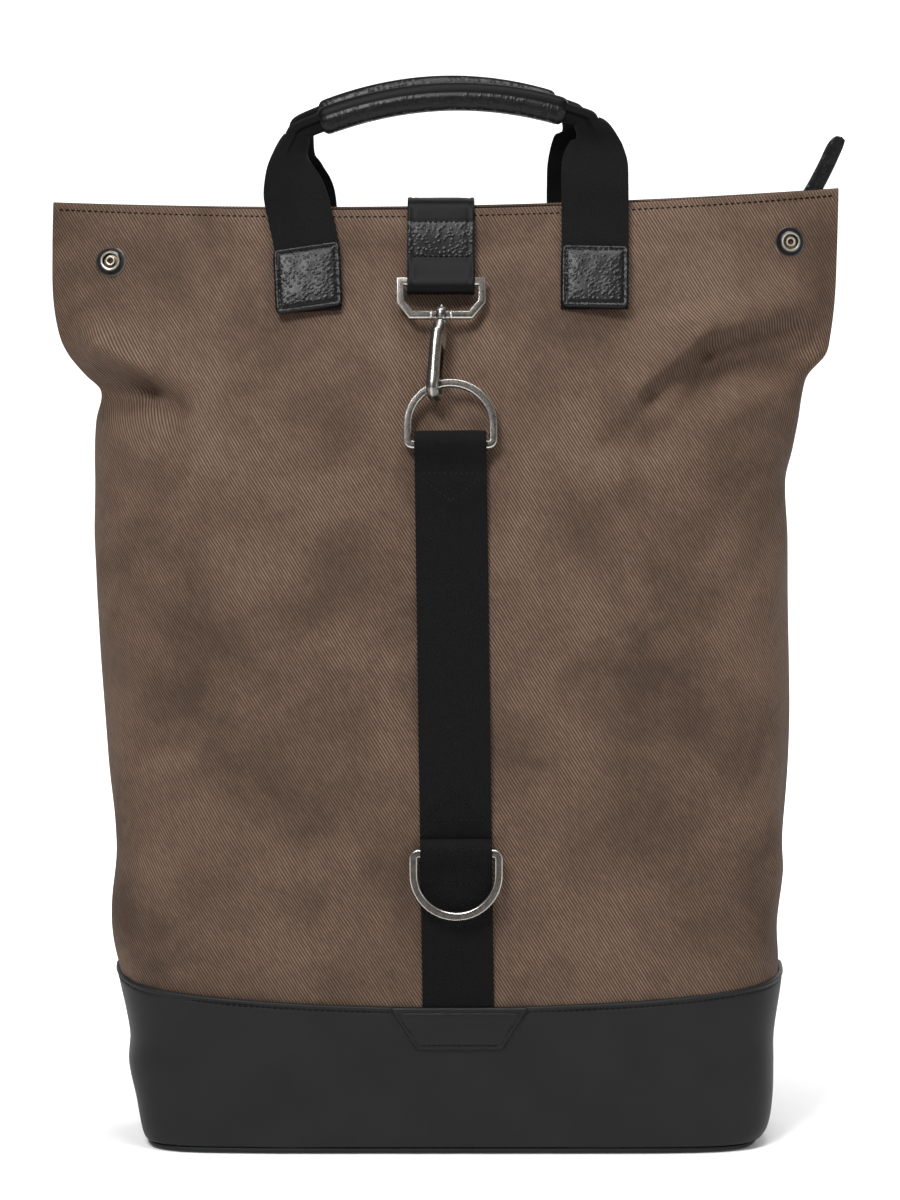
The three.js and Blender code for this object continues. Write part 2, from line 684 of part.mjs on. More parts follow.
// Bars of the closure loop and of the upper ring, with the lean of the line between them.
function closureLine() {
  const height = bagHeight - closureLoopDrop;
  const top = new THREE.Vector3(closureX, -barDepth(closureX, height, closureWidth), height);
  const bottom = top.clone();
  bottom.x = upperLoopX;
  let lean = 0;
  for (let i = 0; i < 12; i += 1) {
    bottom.z = top.z - closureToRing * Math.cos(lean);
    bottom.y = -barDepth(upperLoopX, bottom.z, strapWidth);
    lean = Math.asin((top.y - bottom.y) / closureToRing);
  }
  return { top, bottom, lean };
}
const line = closureLine();

// Centre line of the front strap, which drifts to one side on its way down.
function strapX(z) {
  return upperLoopX + strapDrift * (line.bottom.z - z);
}
const lowerBar = new THREE.Vector3(
  strapX(lowerLoopHeight),
  -barDepth(strapX(lowerLoopHeight), lowerLoopHeight, strapWidth),
  lowerLoopHeight,
);

// Convex outline moved inwards by a distance, corner by corner.
function insetOutline(points, distance) {
  return points.map((point, i) => {
    const before = points[(i + points.length - 1) % points.length];
    const after = points[(i + 1) % points.length];
    const inward = (a, b) => new THREE.Vector2(a.y - b.y, b.x - a.x).normalize();
    const [n1, n2] = [inward(before, point), inward(point, after)];
    return point.clone().addScaledVector(n1.clone().add(n2), distance / (1 + n1.dot(n2)));
  });
}

// D-ring with its bar's middle at the origin and its bow upwards.
function ringGeometry() {
  const outline = (inset) => {
    const radius = ringRadius - inset;
    const low = inset - stockWidth / 2;
    const corner = inset === 0 ? ringCorner : 0;
    const shape = new THREE.Shape();
    shape.moveTo(-radius, low + corner);
    if (corner > 0) shape.lineTo(corner - radius, low);
    if (corner > 0) shape.lineTo(radius - corner, low);
    shape.lineTo(radius, low + corner);
    shape.absarc(0, ringBarDrop, radius, 0, Math.PI);
    return shape;
  };
  const shape = outline(0);
  shape.holes.push(outline(stockWidth));
  return plateXZ(shape, stockThickness, edgeBevel, 9);
}

// Swivel loop with its upper bar's middle at the origin and a boss on its lower bar.
function swivelGeometry() {
  const half = swivelWidth / 2;
  const low = -swivelDrop - stockWidth / 2;
  const outer = [
    [-half, low + chamferUp], [chamferAcross - half, low], [half - chamferAcross, low],
    [half, low + chamferUp], [half, stockWidth / 2], [-half, stockWidth / 2],
  ].map(([x, z]) => new THREE.Vector2(x, z));
  const shape = new THREE.Shape(outer);
  shape.holes.push(new THREE.Path(insetOutline(outer, stockWidth)));
  const boss = new THREE.CylinderGeometry(bossRadius, bossRadius, stockWidth + 2 * bossStep, 16);
  boss.rotateX(Math.PI / 2);
  boss.translate(0, 0, -swivelDrop);
  const hole = shaftRadius + loopClearance;
  const bore = new THREE.CylinderGeometry(hole, hole, 4 * stockWidth, 16);
  bore.rotateX(Math.PI / 2);
  bore.translate(0, 0, -swivelDrop);
  const frame = toManifold(plateXZ(shape, stockThickness, edgeBevel));
  return fromManifold(frame.add(toManifold(boss)).subtract(toManifold(bore)));
}

const bossTop = stockWidth / 2 + bossStep;
const gateAt = new THREE.Vector2(hookBowRadius + gateThickness / 2, -hookReach + gateRise);
const tipTop = -hookReach + tipRise;

// Snap hook with the middle of the swivel's lower bar at its origin. The outline's x is
// the depth towards the bag; the hook is cast in one with its shaft and riveted head.
function hookGeometry() {
  const outer = hookBowRadius + hookBowStock;
  const neck = -bossTop - sewnGap;
  const shape = new THREE.Shape();
  shape.moveTo(-bossRadius, neck);
  shape.lineTo(-outer * 0.62, neck - hookShoulder);
  shape.lineTo(-outer - hookForward, -hookReach * 0.34);
  shape.lineTo(-outer - hookForward, -hookReach);
  shape.absarc(-hookForward, -hookReach, outer, Math.PI, Math.PI * 2, false);
  shape.lineTo(outer - hookForward, tipTop);
  shape.lineTo(hookBowRadius - hookForward, tipTop);
  shape.absarc(-hookForward, -hookReach, hookBowRadius, 0, -Math.PI, true);
  shape.lineTo(-hookBowRadius - hookForward, -hookReach * 0.5);
  shape.lineTo(-hookBowRadius * 0.4 - hookForward, gateAt.y - hookGateSeat);
  shape.lineTo(gateAt.x + hookGateCheek - hookForward, gateAt.y - hookGateSeat);
  shape.lineTo(gateAt.x + hookGateCheek - hookForward, gateAt.y + hookGateTop);
  shape.lineTo(bossRadius, neck - hookShoulder * 0.7);
  shape.lineTo(bossRadius, neck);
  const body = toManifold(plateYZ(shape, hookWidth, hookBevel, 6));
  const shaftLength = 2 * (bossTop + sewnGap + bossStep + sewnGap);
  const shaft = new THREE.CylinderGeometry(shaftRadius, shaftRadius, shaftLength, 12);
  shaft.rotateX(Math.PI / 2);
  const head = new THREE.CylinderGeometry(rivetRadius * 0.7, rivetRadius, rivetHeight, 12);
  head.rotateX(Math.PI / 2);
  head.translate(0, 0, bossTop + sewnGap + rivetHeight / 2);
  const slot = new THREE.BoxGeometry(gateWidth + 2 * sewnGap, gateSlotDepth, gateSlotHeight);
  slot.translate(0, gateAt.x - hookForward + gateSlotDepth * 0.22, gateAt.y - gateSlotHeight / 7);
  const pin = new THREE.CylinderGeometry(gatePinRadius, gatePinRadius, hookWidth - 1, 10);
  pin.rotateZ(Math.PI / 2);
  pin.translate(0, gateAt.x - hookForward, gateAt.y);
  const joined = body.subtract(toManifold(slot)).add(toManifold(shaft)).add(toManifold(head));
  return fromManifold(joined.add(toManifold(pin)));
}

// Gate of the hook, with its pivot at the origin: a flat tongue on a bored knuckle.
function gateGeometry() {
  const hole = gatePinRadius + gateClearance;
  const knuckle = hole + gateKnuckleWall;
  const tongue = new THREE.BoxGeometry(gateWidth, gateThickness, gateAt.y - tipTop - sewnGap);
  tongue.translate(0, 0, -(gateAt.y - tipTop - sewnGap) / 2);
  const barrel = new THREE.CylinderGeometry(knuckle, knuckle, gateWidth, 14);
  barrel.rotateZ(Math.PI / 2);
  const bore = new THREE.CylinderGeometry(hole, hole, hookWidth, 14);
  bore.rotateZ(Math.PI / 2);
  return fromManifold(toManifold(tongue).add(toManifold(barrel)).subtract(toManifold(bore)));
}

function frontMetalwork() {
  const hanging = new THREE.Group();
  hanging.position.copy(line.top);
  hanging.rotation.x = -line.lean;
  bag.add(hanging);
  addPiece('swivel_loop', swivelGeometry(), 'nickel', hanging);
  const ring = addPiece('upper_d_ring', ringGeometry(), 'nickel', hanging);
  ring.position.set(upperLoopX - closureX, 0, -closureToRing);
  const hook = new THREE.Group();
  hook.position.z = -swivelDrop;
  hook.rotation.set(0, hookLean * degree, -hookYaw * degree);
  hanging.add(hook);
  addPiece('snap_hook', hookGeometry(), 'nickel', hook);
  const gate = addPiece('hook_gate', gateGeometry(), 'nickel', hook);
  gate.position.set(0, gateAt.x - hookForward, gateAt.y);
  const lower = addPiece('lower_d_ring', ringGeometry().rotateY(Math.PI), 'nickel');
  lower.position.copy(lowerBar);
}

// Looped straps

// Points round a loop's bar, from behind it, over its top or under it, to its front.
function loopCap(bar, turn) {
  const steps = 8;
  return Array.from({ length: steps + 1 }, (_, i) => {
    const angle = (i / steps) * Math.PI;
    return new THREE.Vector2(
      bar.y + loopRadius * Math.cos(angle),
      bar.z + turn * loopRadius * Math.sin(angle),
    );
  });
}

// Back face of a strap on the front panel, from the height `far` to its loop's bar, with a
// place at the end of the doubled length and one just past it.
function seatLine(far, bar, turn, width, centreX) {
  const settle = loopRadius + foldSettle;
  const fold = bar.z - turn * foldLength;
  const heights = [far, fold, fold - turn, bar.z - turn * settle];
  const steps = Math.floor(Math.abs(fold - far) / seatStep);
  for (let i = 1; i < steps; i += 1) heights.push(lerp(far, fold - turn, i / steps));
  heights.sort((a, b) => turn * (a - b));
  return heights.map((z) => {
    const depth = seatDepth(frontGrid, centreX(z), z, width / 2, seatStep / 2);
    return new THREE.Vector2(-depth - sewnGap, z);
  });
}

// Solid of a strap with one loop. The doubled length ends foldLength from the bar.
function loopedStrap(backFace, bar, turn, width, leadUnder, leadOver) {
  const double = (z) => turn * (bar.z - z) <= foldLength + 1e-6;
  const frontFace = backFace.map(({ x, y }) => (
    new THREE.Vector2(x - (double(y) ? 2 : 1) * webThickness, y)
  ));
  const outline = new THREE.Shape([
    ...leadUnder, ...backFace, ...loopCap(bar, turn), ...frontFace.reverse(), ...leadOver,
  ]);
  const hole = new THREE.Path();
  hole.absarc(bar.y, bar.z, barSwing, 0, Math.PI * 2);
  outline.holes.push(hole);
  return plateYZ(outline, width, 0, 8);
}

// Moves each point sideways to the strap's own centre line at its height.
function followDrift(geometry) {
  const places = geometry.attributes.position;
  for (let i = 0; i < places.count; i += 1) places.setX(i, places.getX(i) + strapX(places.getZ(i)));
  return geometry;
}

function frontStraps() {
  const upperEnd = lowerBar.z + loopRadius + sewnGap;
  const upperSeat = seatLine(upperEnd, line.bottom, 1, strapWidth, strapX);
  const upper = loopedStrap(upperSeat, line.bottom, 1, strapWidth, [], []);
  addPiece('upper_strap', followDrift(upper), 'webbing');
  const lowerSeat = seatLine(strapEndHeight, lowerBar, 1, strapWidth, strapX);
  const lower = loopedStrap(lowerSeat, lowerBar, 1, strapWidth, [], []);
  addPiece('lower_strap', followDrift(lower), 'webbing');
}

// Closure strap: from the back panel over the mouth and down to the swivel's loop.
function closureStrap() {
  const across = (closureWidth / 2 + Math.abs(closureX)) / halfWidth;
  const edge = (side) => Math.max(mouthHeight(side, across), mouthHeight(side, -across)) + sewnGap;
  const [frontEdge, backEdge] = [edge(front), edge(back)];
  const depthAt = (grid, z) => seatDepth(grid, closureX, z, closureWidth / 2, seatStep / 2) + sewnGap;
  const tail = [];
  for (let i = 0; i <= 3; i += 1) {
    const z = lerp(backEdge - closureTail, backEdge, i / 3);
    tail.push(new THREE.Vector2(depthAt(backGrid, z), z));
  }
  const seat = seatLine(frontEdge, line.top, -1, closureWidth, () => closureX);
  const bend = webThickness * 0.7;
  const over = [
    new THREE.Vector2(seat[0].x - 0.4 * bend, frontEdge + bend),
    new THREE.Vector2(seat[0].x + webThickness, frontEdge + webThickness),
    new THREE.Vector2(tail[3].x - webThickness, backEdge + webThickness),
    new THREE.Vector2(tail[3].x + 0.4 * bend, backEdge + bend),
    ...tail.map(({ x, y }) => new THREE.Vector2(x + webThickness, y)).reverse(),
  ];
  const geometry = loopedStrap(seat, line.top, -1, closureWidth, tail, over);
  addPiece('closure_strap', geometry.translate(closureX, 0, 0), 'grainLeather');
}

// Label on the base, bare, with its upper edge level with the leather's.
function labelPatch() {
  const half = labelHeight / 2;
  const middle = seamMiddle - half;
  const shape = new THREE.Shape([
    new THREE.Vector2(-labelBottom / 2, -half), new THREE.Vector2(labelBottom / 2, -half),
    new THREE.Vector2(labelTop / 2, half), new THREE.Vector2(-labelTop / 2, half),
  ]);
  const { point, normal } = seatPlane(baseFrontGrid, front, labelX, middle, labelTop / 2, half - sewnGap);
  const label = addPiece('label_patch', plateXZ(shape, patchThickness, edgeBevel), 'grainLeather');
  label.quaternion.setFromUnitVectors(new THREE.Vector3(0, -1, 0), normal);
  label.position.copy(point).addScaledVector(normal, patchThickness / 2);
}

// Press snap: a flat washer with two raised rings, turned about its own axis.
function pressSnap({ name, hand, inset, drop }) {
  const x = hand * (halfWidth - inset);
  const z = bagHeight - drop;
  const profile = [
    [0.18, 0], [1, 0], [1, 0.3], [0.86, 0.42], [0.7, 0.42], [0.68, 0.95], [0.58, 1],
    [0.47, 0.9], [0.44, 0.42], [0.36, 0.42], [0.34, 0.78], [0.24, 0.78], [0.18, 0],
  ].map(([r, h]) => new THREE.Vector2(r * snapRadius, h * snapHeight));
  const { point, normal } = seatPlane(frontGrid, front, x, z, snapRadius, snapRadius);
  const snap = addPiece(name, new THREE.LatheGeometry(profile, 16), 'nickel');
  snap.quaternion.setFromUnitVectors(new THREE.Vector3(0, 1, 0), normal);
  snap.position.copy(point);
}

// Handles

function handlePieces({ name, side, halfSpan, centre, lift }) {
  const grid = side === front ? frontGrid : backGrid;
  const mouth = bagHeight - frontSag + 1;
  const place = ({ across, up }) => [
    centre + across * halfSpan,
    mouth + up * handleRise + (up > 0.5 ? lift : 0),
  ];
  const legStations = (rows) => rows.map((row) => {
    const [x, z] = place(row);
    const folded = THREE.MathUtils.clamp((1 - row.wide) / 0.6, 0, 1);
    const thick = webThickness * lerp(1, gripFoldPlies, folded);
    const seated = seatDepth(grid, x, Math.min(z, mouth - legTop), handleWeb / 2, legSeat);
    const edge = seated + sewnGap + thick / 2;
    const free = THREE.MathUtils.smoothstep(row.up, -0.05, 0.7);
    return {
      point: new THREE.Vector3(x, side * lerp(edge, gripBack, free), z),
      width: row.wide * handleWeb,
      thick,
    };
  });
  const left = legStations(leftLeg);
  const right = legStations(rightLeg);
  const [gripStart, gripEnd] = gripEnds.map((row) => {
    const [x, z] = place(row);
    return new THREE.Vector3(x, side * gripBack, z);
  });
  const arc = Array.from({ length: gripSteps + 1 }, (_, i) => {
    const t = i / gripSteps;
    const point = gripStart.clone().lerp(gripEnd, t);
    point.z += 4 * gripRise * t * (1 - t);
    return { point, width: gripFold, thick: gripFoldPlies * webThickness };
  });
  const strap = solidThrough(bandRings([...left, ...arc, ...right], inFrontPlane));
  addPiece(`${name}_handle_strap`, strap, 'webbing');
  const rings = (halfAcross, halfDeep, power) => arc.slice(1, -1).map(({ point }, i) => {
    const along = arc[i + 2].point.clone().sub(arc[i].point).normalize();
    const across = inFrontPlane(along).normalize();
    return roundedRing(point, across, across.clone().cross(along), halfAcross, halfDeep, power);
  });
  const holeDepth = (gripFoldPlies * webThickness) / 2 + gripPlay;
  const hole = rings(gripFold / 2 + gripPlay, holeDepth, gripHollowRoundness);
  const skin = rings(gripHeight / 2, gripDepth / 2, gripRoundness);
  addPiece(`${name}_grip`, sleeveThrough(skin, hole), 'grainLeather');
  const outwards = -side * (webThickness / 2 + sewnGap + patchThickness / 2);
  const patch = (end, stations) => {
    const rows = stations.map(({ point }) => (
      { point, width: patchWidth, thick: patchThickness, shift: outwards }
    ));
    addPiece(`${name}_${end}_patch`, solidThrough(bandRings(rows, inFrontPlane)), 'grainLeather');
  };
  patch('left', left.slice(0, 3));
  patch('right', right.slice(-3));
}

// Zip in the mouth

// Tape of one side, hanging inside the panel below its upper edge.
function zipTape(name, side, columns, folds) {
  const reach = zipReach;
  const shares = [0, 0.5, 1];
  const grid = (offset) => shares.map((share) => {
    const row = [];
    for (let c = 0; c <= columns; c += 1) {
      const across = (2 * c) / columns - 1;
      if (Math.abs(across) > reach) continue;
      const z = mouthHeight(side, across) - zipDrop - zipTapeHeight * (1 - share);
      row.push(bagPoint(side, across, z, offset, folds));
    }
    return row;
  });
  const outer = -canvasWall - zipGap;
  addPiece(name, wallBetween(grid(outer), grid(outer - zipTapeThickness)), 'webbing');
}

// Slider between the tapes' right ends, and the leather tab that ends the zip.
function zipFittings() {
  const x = halfWidth * zipSliderPlace;
  const top = bagHeight - zipDrop;
  const end = x + zipSliderLength / 2;
  const room = Math.min(faceDepth(frontGrid, end, top), faceDepth(backGrid, end, top));
  const inner = 2 * (room - canvasWall - zipGap - zipTapeThickness - sewnGap);
  const block = new THREE.BoxGeometry(zipSliderLength, inner, zipSliderHeight);
  const slider = addPiece('zip_slider', block, 'nickel');
  slider.position.set(x, 0, top - zipSliderHeight / 2);
  const stations = zipTabPath.map(({ across, up, wide }) => ({
    point: new THREE.Vector3(across * halfWidth, 0, bagHeight + up * zipTabLength),
    width: wide * zipTabWidth,
    thick: zipTabThickness,
  }));
  addPiece('zip_end_tab', solidThrough(bandRings(stations, inFrontPlane)), 'grainLeather');
}

// Shoulder straps

// Adjuster: a frame with two slots round a middle bar, centred at the origin.
function adjusterGeometry() {
  const half = adjusterWidth / 2;
  const end = adjusterLength / 2;
  const shape = new THREE.Shape([
    new THREE.Vector2(-half, -end), new THREE.Vector2(half, -end),
    new THREE.Vector2(half, end), new THREE.Vector2(-half, end),
  ]);
  const slotHigh = (adjusterLength - 3 * adjusterBar) / 2;
  [-1, 1].forEach((turn) => {
    const low = turn < 0 ? -adjusterBar / 2 - slotHigh : adjusterBar / 2;
    const slotHalf = half - adjusterBar;
    shape.holes.push(new THREE.Path([
      new THREE.Vector2(-slotHalf, low), new THREE.Vector2(-slotHalf, low + slotHigh),
      new THREE.Vector2(slotHalf, low + slotHigh), new THREE.Vector2(slotHalf, low),
    ]));
  });
  return plateXZ(shape, adjusterThickness, edgeBevel);
}

function shoulderStrap(name, hand) {
  const backDepth = (x, z) => seatDepth(backGrid, x, z, padWidth / 2, seatStep / 2);
  const pad = padPath.map(({ across, out, up, wide, thick }) => {
    const x = across * halfWidth;
    const z = up * padTopHeight;
    const y = backDepth(x, z) + sewnGap + (thick * padThickness) / 2 + out * padBow;
    const point = new THREE.Vector3(hand * x, y, z);
    return { point, width: wide * padWidth, thick: thick * padThickness };
  });
  addPiece(`${name}_shoulder_pad`, solidThrough(bandRings(pad, acrossBack)), 'padding');
  const end = pad[pad.length - 1].point;
  const along = end.clone().sub(pad[pad.length - 2].point).normalize();
  const reach = adjusterLength / 2 + sewnGap;
  const across = acrossBack(along).normalize();
  const adjuster = addPiece(`${name}_strap_adjuster`, adjusterGeometry(), 'nickel');
  const facing = across.clone().cross(along);
  const turn = new THREE.Matrix4().makeBasis(across, facing.clone(), along);
  if (turn.determinant() < 0) turn.makeBasis(across, facing.negate(), along);
  adjuster.quaternion.setFromRotationMatrix(turn);
  adjuster.position.copy(end).addScaledVector(along, reach);
  const tabEdge = halfWidth * columnAt(sections, hand < 0 ? 'left' : 'right', tabMiddle / bagHeight);
  const tabX = tabEdge + (hand > 0 ? tabShow : 0) - tabReach / 2;
  const tabSeat = hand * (tabX - tabReach / 4);
  const tabDepth = seatDepth(baseBackGrid, tabSeat, tabMiddle, tabReach / 4, tabHeight / 2);
  const tabY = tabDepth + sewnGap + tabThickness / 2;
  const tab = addPiece(
    `${name}_lower_anchor`,
    new THREE.BoxGeometry(tabReach, tabThickness, tabHeight),
    'grainLeather',
  );
  tab.position.set(hand * tabX, tabY, tabMiddle);
  const webY = tabY + tabThickness / 2 + sewnGap + webThickness / 2;
  const web = [
    end.clone().addScaledVector(along, 2 * reach),
    end.clone().addScaledVector(along, 2 * reach + webThickness),
    ...lowerWebPath.map(({ across: share, out, up }) => (
      new THREE.Vector3(hand * share * halfWidth, lerp(webY, end.y, out), up * padTopHeight)
    )),
    new THREE.Vector3(hand * tabX, webY + webLift, tabMiddle + tabHeight / 2 + webLanding),
    new THREE.Vector3(hand * tabX, webY, tabMiddle + tabHeight / 2 + webThickness),
    new THREE.Vector3(hand * tabX, webY, tabMiddle - tabHeight * 0.3),
  ].map((point) => ({ point, width: lowerWebWidth, thick: webThickness }));
  addPiece(`${name}_lower_webbing`, solidThrough(bandRings(web, acrossBack)), 'webbing');
  return pad;
}

// Leather patch over the upper ends of both shoulder straps.
function topAnchor(pad) {
  const [upper, next] = pad;
  const over = upper.thick / 2 + sewnGap + patchThickness / 2;
  const rows = [-0.35, 0, 0.6].map((share) => ({
    point: new THREE.Vector3(
      0,
      lerp(upper.point.y, next.point.y, share) + over,
      lerp(upper.point.z, next.point.z, share),
    ),
    width: anchorWidth,
    thick: patchThickness,
  }));
  addPiece('top_anchor_patch', solidThrough(bandRings(rows, acrossBack)), 'grainLeather');
}

bottomPanel();
frontMetalwork();
frontStraps();
closureStrap();
labelPatch();
snaps.forEach(pressSnap);
handles.forEach(handlePieces);
zipTape('zip_tape_front', front, frontColumns, frontFolds);
zipTape('zip_tape_back', back, backColumns, backFolds);
zipFittings();
const rightPad = shoulderStrap('right', 1);
shoulderStrap('left', -1);
topAnchor(rightPad);

export default bag;
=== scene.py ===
"""Convertible backpack: canvas body on a leather base, a ring and swivel hook closure on
the front strap, two grab handles and two shoulder straps.

Lengths are in millimetres until a mesh is made, which is in metres. +Z is up and the front
faces -Y. The origin is the middle of the flat bottom.
"""

from __future__ import annotations

import logging
import math
from dataclasses import dataclass
from enum import Enum
from typing import Any, Callable, Sequence

import bmesh
import bpy
import numpy as np
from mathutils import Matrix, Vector

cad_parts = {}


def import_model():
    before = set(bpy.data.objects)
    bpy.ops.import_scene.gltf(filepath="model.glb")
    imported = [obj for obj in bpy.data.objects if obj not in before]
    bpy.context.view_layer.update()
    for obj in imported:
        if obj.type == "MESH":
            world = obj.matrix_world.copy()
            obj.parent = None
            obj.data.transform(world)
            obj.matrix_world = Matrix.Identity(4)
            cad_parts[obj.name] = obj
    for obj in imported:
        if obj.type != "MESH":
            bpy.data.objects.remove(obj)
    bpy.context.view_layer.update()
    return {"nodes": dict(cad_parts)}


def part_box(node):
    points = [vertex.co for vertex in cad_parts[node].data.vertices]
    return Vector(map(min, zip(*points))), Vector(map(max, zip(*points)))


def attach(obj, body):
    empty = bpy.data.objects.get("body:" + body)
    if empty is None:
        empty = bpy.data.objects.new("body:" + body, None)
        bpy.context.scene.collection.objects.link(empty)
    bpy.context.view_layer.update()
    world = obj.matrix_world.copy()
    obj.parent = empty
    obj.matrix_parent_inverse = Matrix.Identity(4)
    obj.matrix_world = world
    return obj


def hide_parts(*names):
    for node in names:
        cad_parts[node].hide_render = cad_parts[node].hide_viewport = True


LOG = logging.getLogger("backpack")
MM = 0.001


class Side(Enum):
    """Which panel of the bag, with the sign of its Y."""

    FRONT = -1
    BACK = 1


class Face(Enum):
    """Material slots of a piece that has two finishes."""

    OUTSIDE = 0
    INSIDE = 1


# Surfaces and meshes


@dataclass
class Surface:
    """Grid of points with its own flat coordinates in millimetres."""

    points: np.ndarray
    flat: np.ndarray
    closed: bool = False
    face: Face = Face.OUTSIDE

    def quads(self, first: int) -> np.ndarray:
        """Corners of every cell, counted from the given vertex."""
        rows, columns = self.points.shape[:2]
        index = first + np.arange(rows * columns).reshape(rows, columns)
        if self.closed:
            index = np.concatenate([index, index[:, :1]], axis=1)
        cells = [index[:-1, :-1], index[:-1, 1:], index[1:, 1:], index[1:, :-1]]
        return np.stack([cell.ravel() for cell in cells], axis=1)


def edge_strip(first: Surface, second: Surface, row: int | None = None,
               column: int | None = None) -> Surface:
    """Strip between the same row or the same column of two grids."""
    place = (row, slice(None)) if column is None else (slice(None), column)
    return Surface(np.stack([first.points[place], second.points[place]]), np.stack([first.flat[place]] * 2))


def piece_from(
    name: str,
    surfaces: Sequence[Surface],
    finishes: Sequence[bpy.types.Material],
    body: str = "bag",
    replaces: Sequence[str] = (),
    sharp: float = 40.0,
) -> bpy.types.Object:
    """Makes one object of several grids, joined where their points meet.

    Args:
        name: name of the piece.
        surfaces: grids, in millimetres.
        finishes: materials, in the order of Face.
        body: body that the piece rides on.
        replaces: CAD nodes that the piece stands for.
        sharp: angle in degrees above which an edge stays sharp.

    Returns:
        The new object, with its flat coordinates in the UV map named cloth.
    """
    first = 0
    points, flats, corners, slots = [], [], [], []
    for surface in surfaces:
        quads = surface.quads(first)
        points.append(surface.points.reshape(-1, 3))
        flats.append(surface.flat.reshape(-1, 2))
        corners.append(quads)
        slots.append(np.full(len(quads), surface.face.value))
        first += points[-1].shape[0]
    places = np.concatenate(points) * MM
    flat = np.concatenate(flats)
    faces = np.concatenate(corners)
    a, b, c, d = (places[faces[:, k]] for k in range(4))
    volume = np.einsum("ij,ij->i", a, np.cross(b, c) + np.cross(c, d)).sum()
    if volume < 0:
        faces = faces[:, ::-1]
    mesh = bpy.data.meshes.new(name)
    mesh.vertices.add(len(places))
    mesh.vertices.foreach_set("co", places.ravel())
    mesh.loops.add(faces.size)
    mesh.loops.foreach_set("vertex_index", faces.ravel())
    mesh.polygons.add(len(faces))
    mesh.polygons.foreach_set("loop_start", np.arange(0, faces.size, 4))
    mesh.polygons.foreach_set("material_index", np.concatenate(slots))
    mesh.uv_layers.new(name="cloth")
    mesh.uv_layers["cloth"].data.foreach_set("uv", flat[faces.ravel()].ravel())
    mesh.update(calc_edges=True)
    work = bmesh.new()
    work.from_mesh(mesh)
    bmesh.ops.remove_doubles(work, verts=work.verts, dist=2e-6)
    bmesh.ops.dissolve_degenerate(work, edges=work.edges, dist=1e-7)
    work.to_mesh(mesh)
    work.free()
    mesh.polygons.foreach_set("use_smooth", np.ones(len(mesh.polygons), dtype=bool))
    mesh.set_sharp_from_angle(angle=math.radians(sharp))
    for finish in finishes:
        mesh.materials.append(finish)
    piece = bpy.data.objects.new(name, mesh)
    bpy.context.scene.collection.objects.link(piece)
    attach(piece, body)
    if replaces:
        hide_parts(*replaces)
    LOG.info("%s: %d faces", name, len(mesh.polygons))
    return piece


def unit(vectors: np.ndarray) -> np.ndarray:
    """Vectors of length one."""
    return vectors / np.maximum(np.linalg.norm(vectors, axis=-1, keepdims=True), 1e-12)


def tangents(path: np.ndarray) -> np.ndarray:
    """Directions of travel along a path, by central differences."""
    return unit(np.gradient(path, axis=0))


def lengths(path: np.ndarray) -> np.ndarray:
    """Distance along a path at each of its points."""
    steps = np.linalg.norm(np.diff(path, axis=0), axis=1)
    return np.concatenate([[0.0], np.cumsum(steps)])


def smooth_rows(rows: np.ndarray, count: int) -> np.ndarray:
    """Rows of values carried through by a cubic whose slopes are those of the neighbours.

    Args:
        rows: values at equal steps, one row each.
        count: rows wanted.

    Returns:
        The values at count equal steps.
    """
    last = len(rows) - 1
    at = np.linspace(0, last, count)
    i = np.minimum(at.astype(int), last - 1)
    t = (at - i)[:, None]
    slope = np.gradient(rows, axis=0)
    rise = rows[i + 1] - rows[i]
    square = (3 * rise - 2 * slope[i] - slope[i + 1]) * t**2
    return rows[i] + slope[i] * t + square + (slope[i] + slope[i + 1] - 2 * rise) * t**3


def even_path(path: np.ndarray, pitch: float) -> np.ndarray:
    """The path's points moved to equal steps of about the given pitch."""
    along = lengths(path)
    at = np.linspace(0, along[-1], max(int(round(along[-1] / pitch)) + 1, 2))
    return np.stack([np.interp(at, along, path[:, k]) for k in range(path.shape[1])], axis=1)


def smoothstep(low: float, high: float, value: np.ndarray) -> np.ndarray:
    """0 below low, 1 above high and 3t2 - 2t3 between them."""
    t = np.clip((np.asarray(value, dtype=float) - low) / (high - low), 0, 1)
    return t * t * (3 - 2 * t)


def ripple(u: np.ndarray, v: np.ndarray, length: float, seed: int, waves: int = 7) -> np.ndarray:
    """Uneven swell between about -1 and 1: a sum of sines in seeded directions.

    Args:
        u: first flat coordinate in millimetres.
        v: second flat coordinate in millimetres.
        length: middle wave length in millimetres.
        seed: seed of the directions, lengths and phases.
        waves: number of sines.

    Returns:
        The swell at each point.
    """
    random = np.random.default_rng(seed)
    total = np.zeros(np.broadcast(u, v).shape)
    for _ in range(waves):
        angle, phase = random.uniform(0, 2 * np.pi, 2)
        wave = 2 * np.pi / (length * random.uniform(0.65, 1.6))
        total += np.sin(wave * (u * np.cos(angle) + v * np.sin(angle)) + phase)
    return total / math.sqrt(waves)


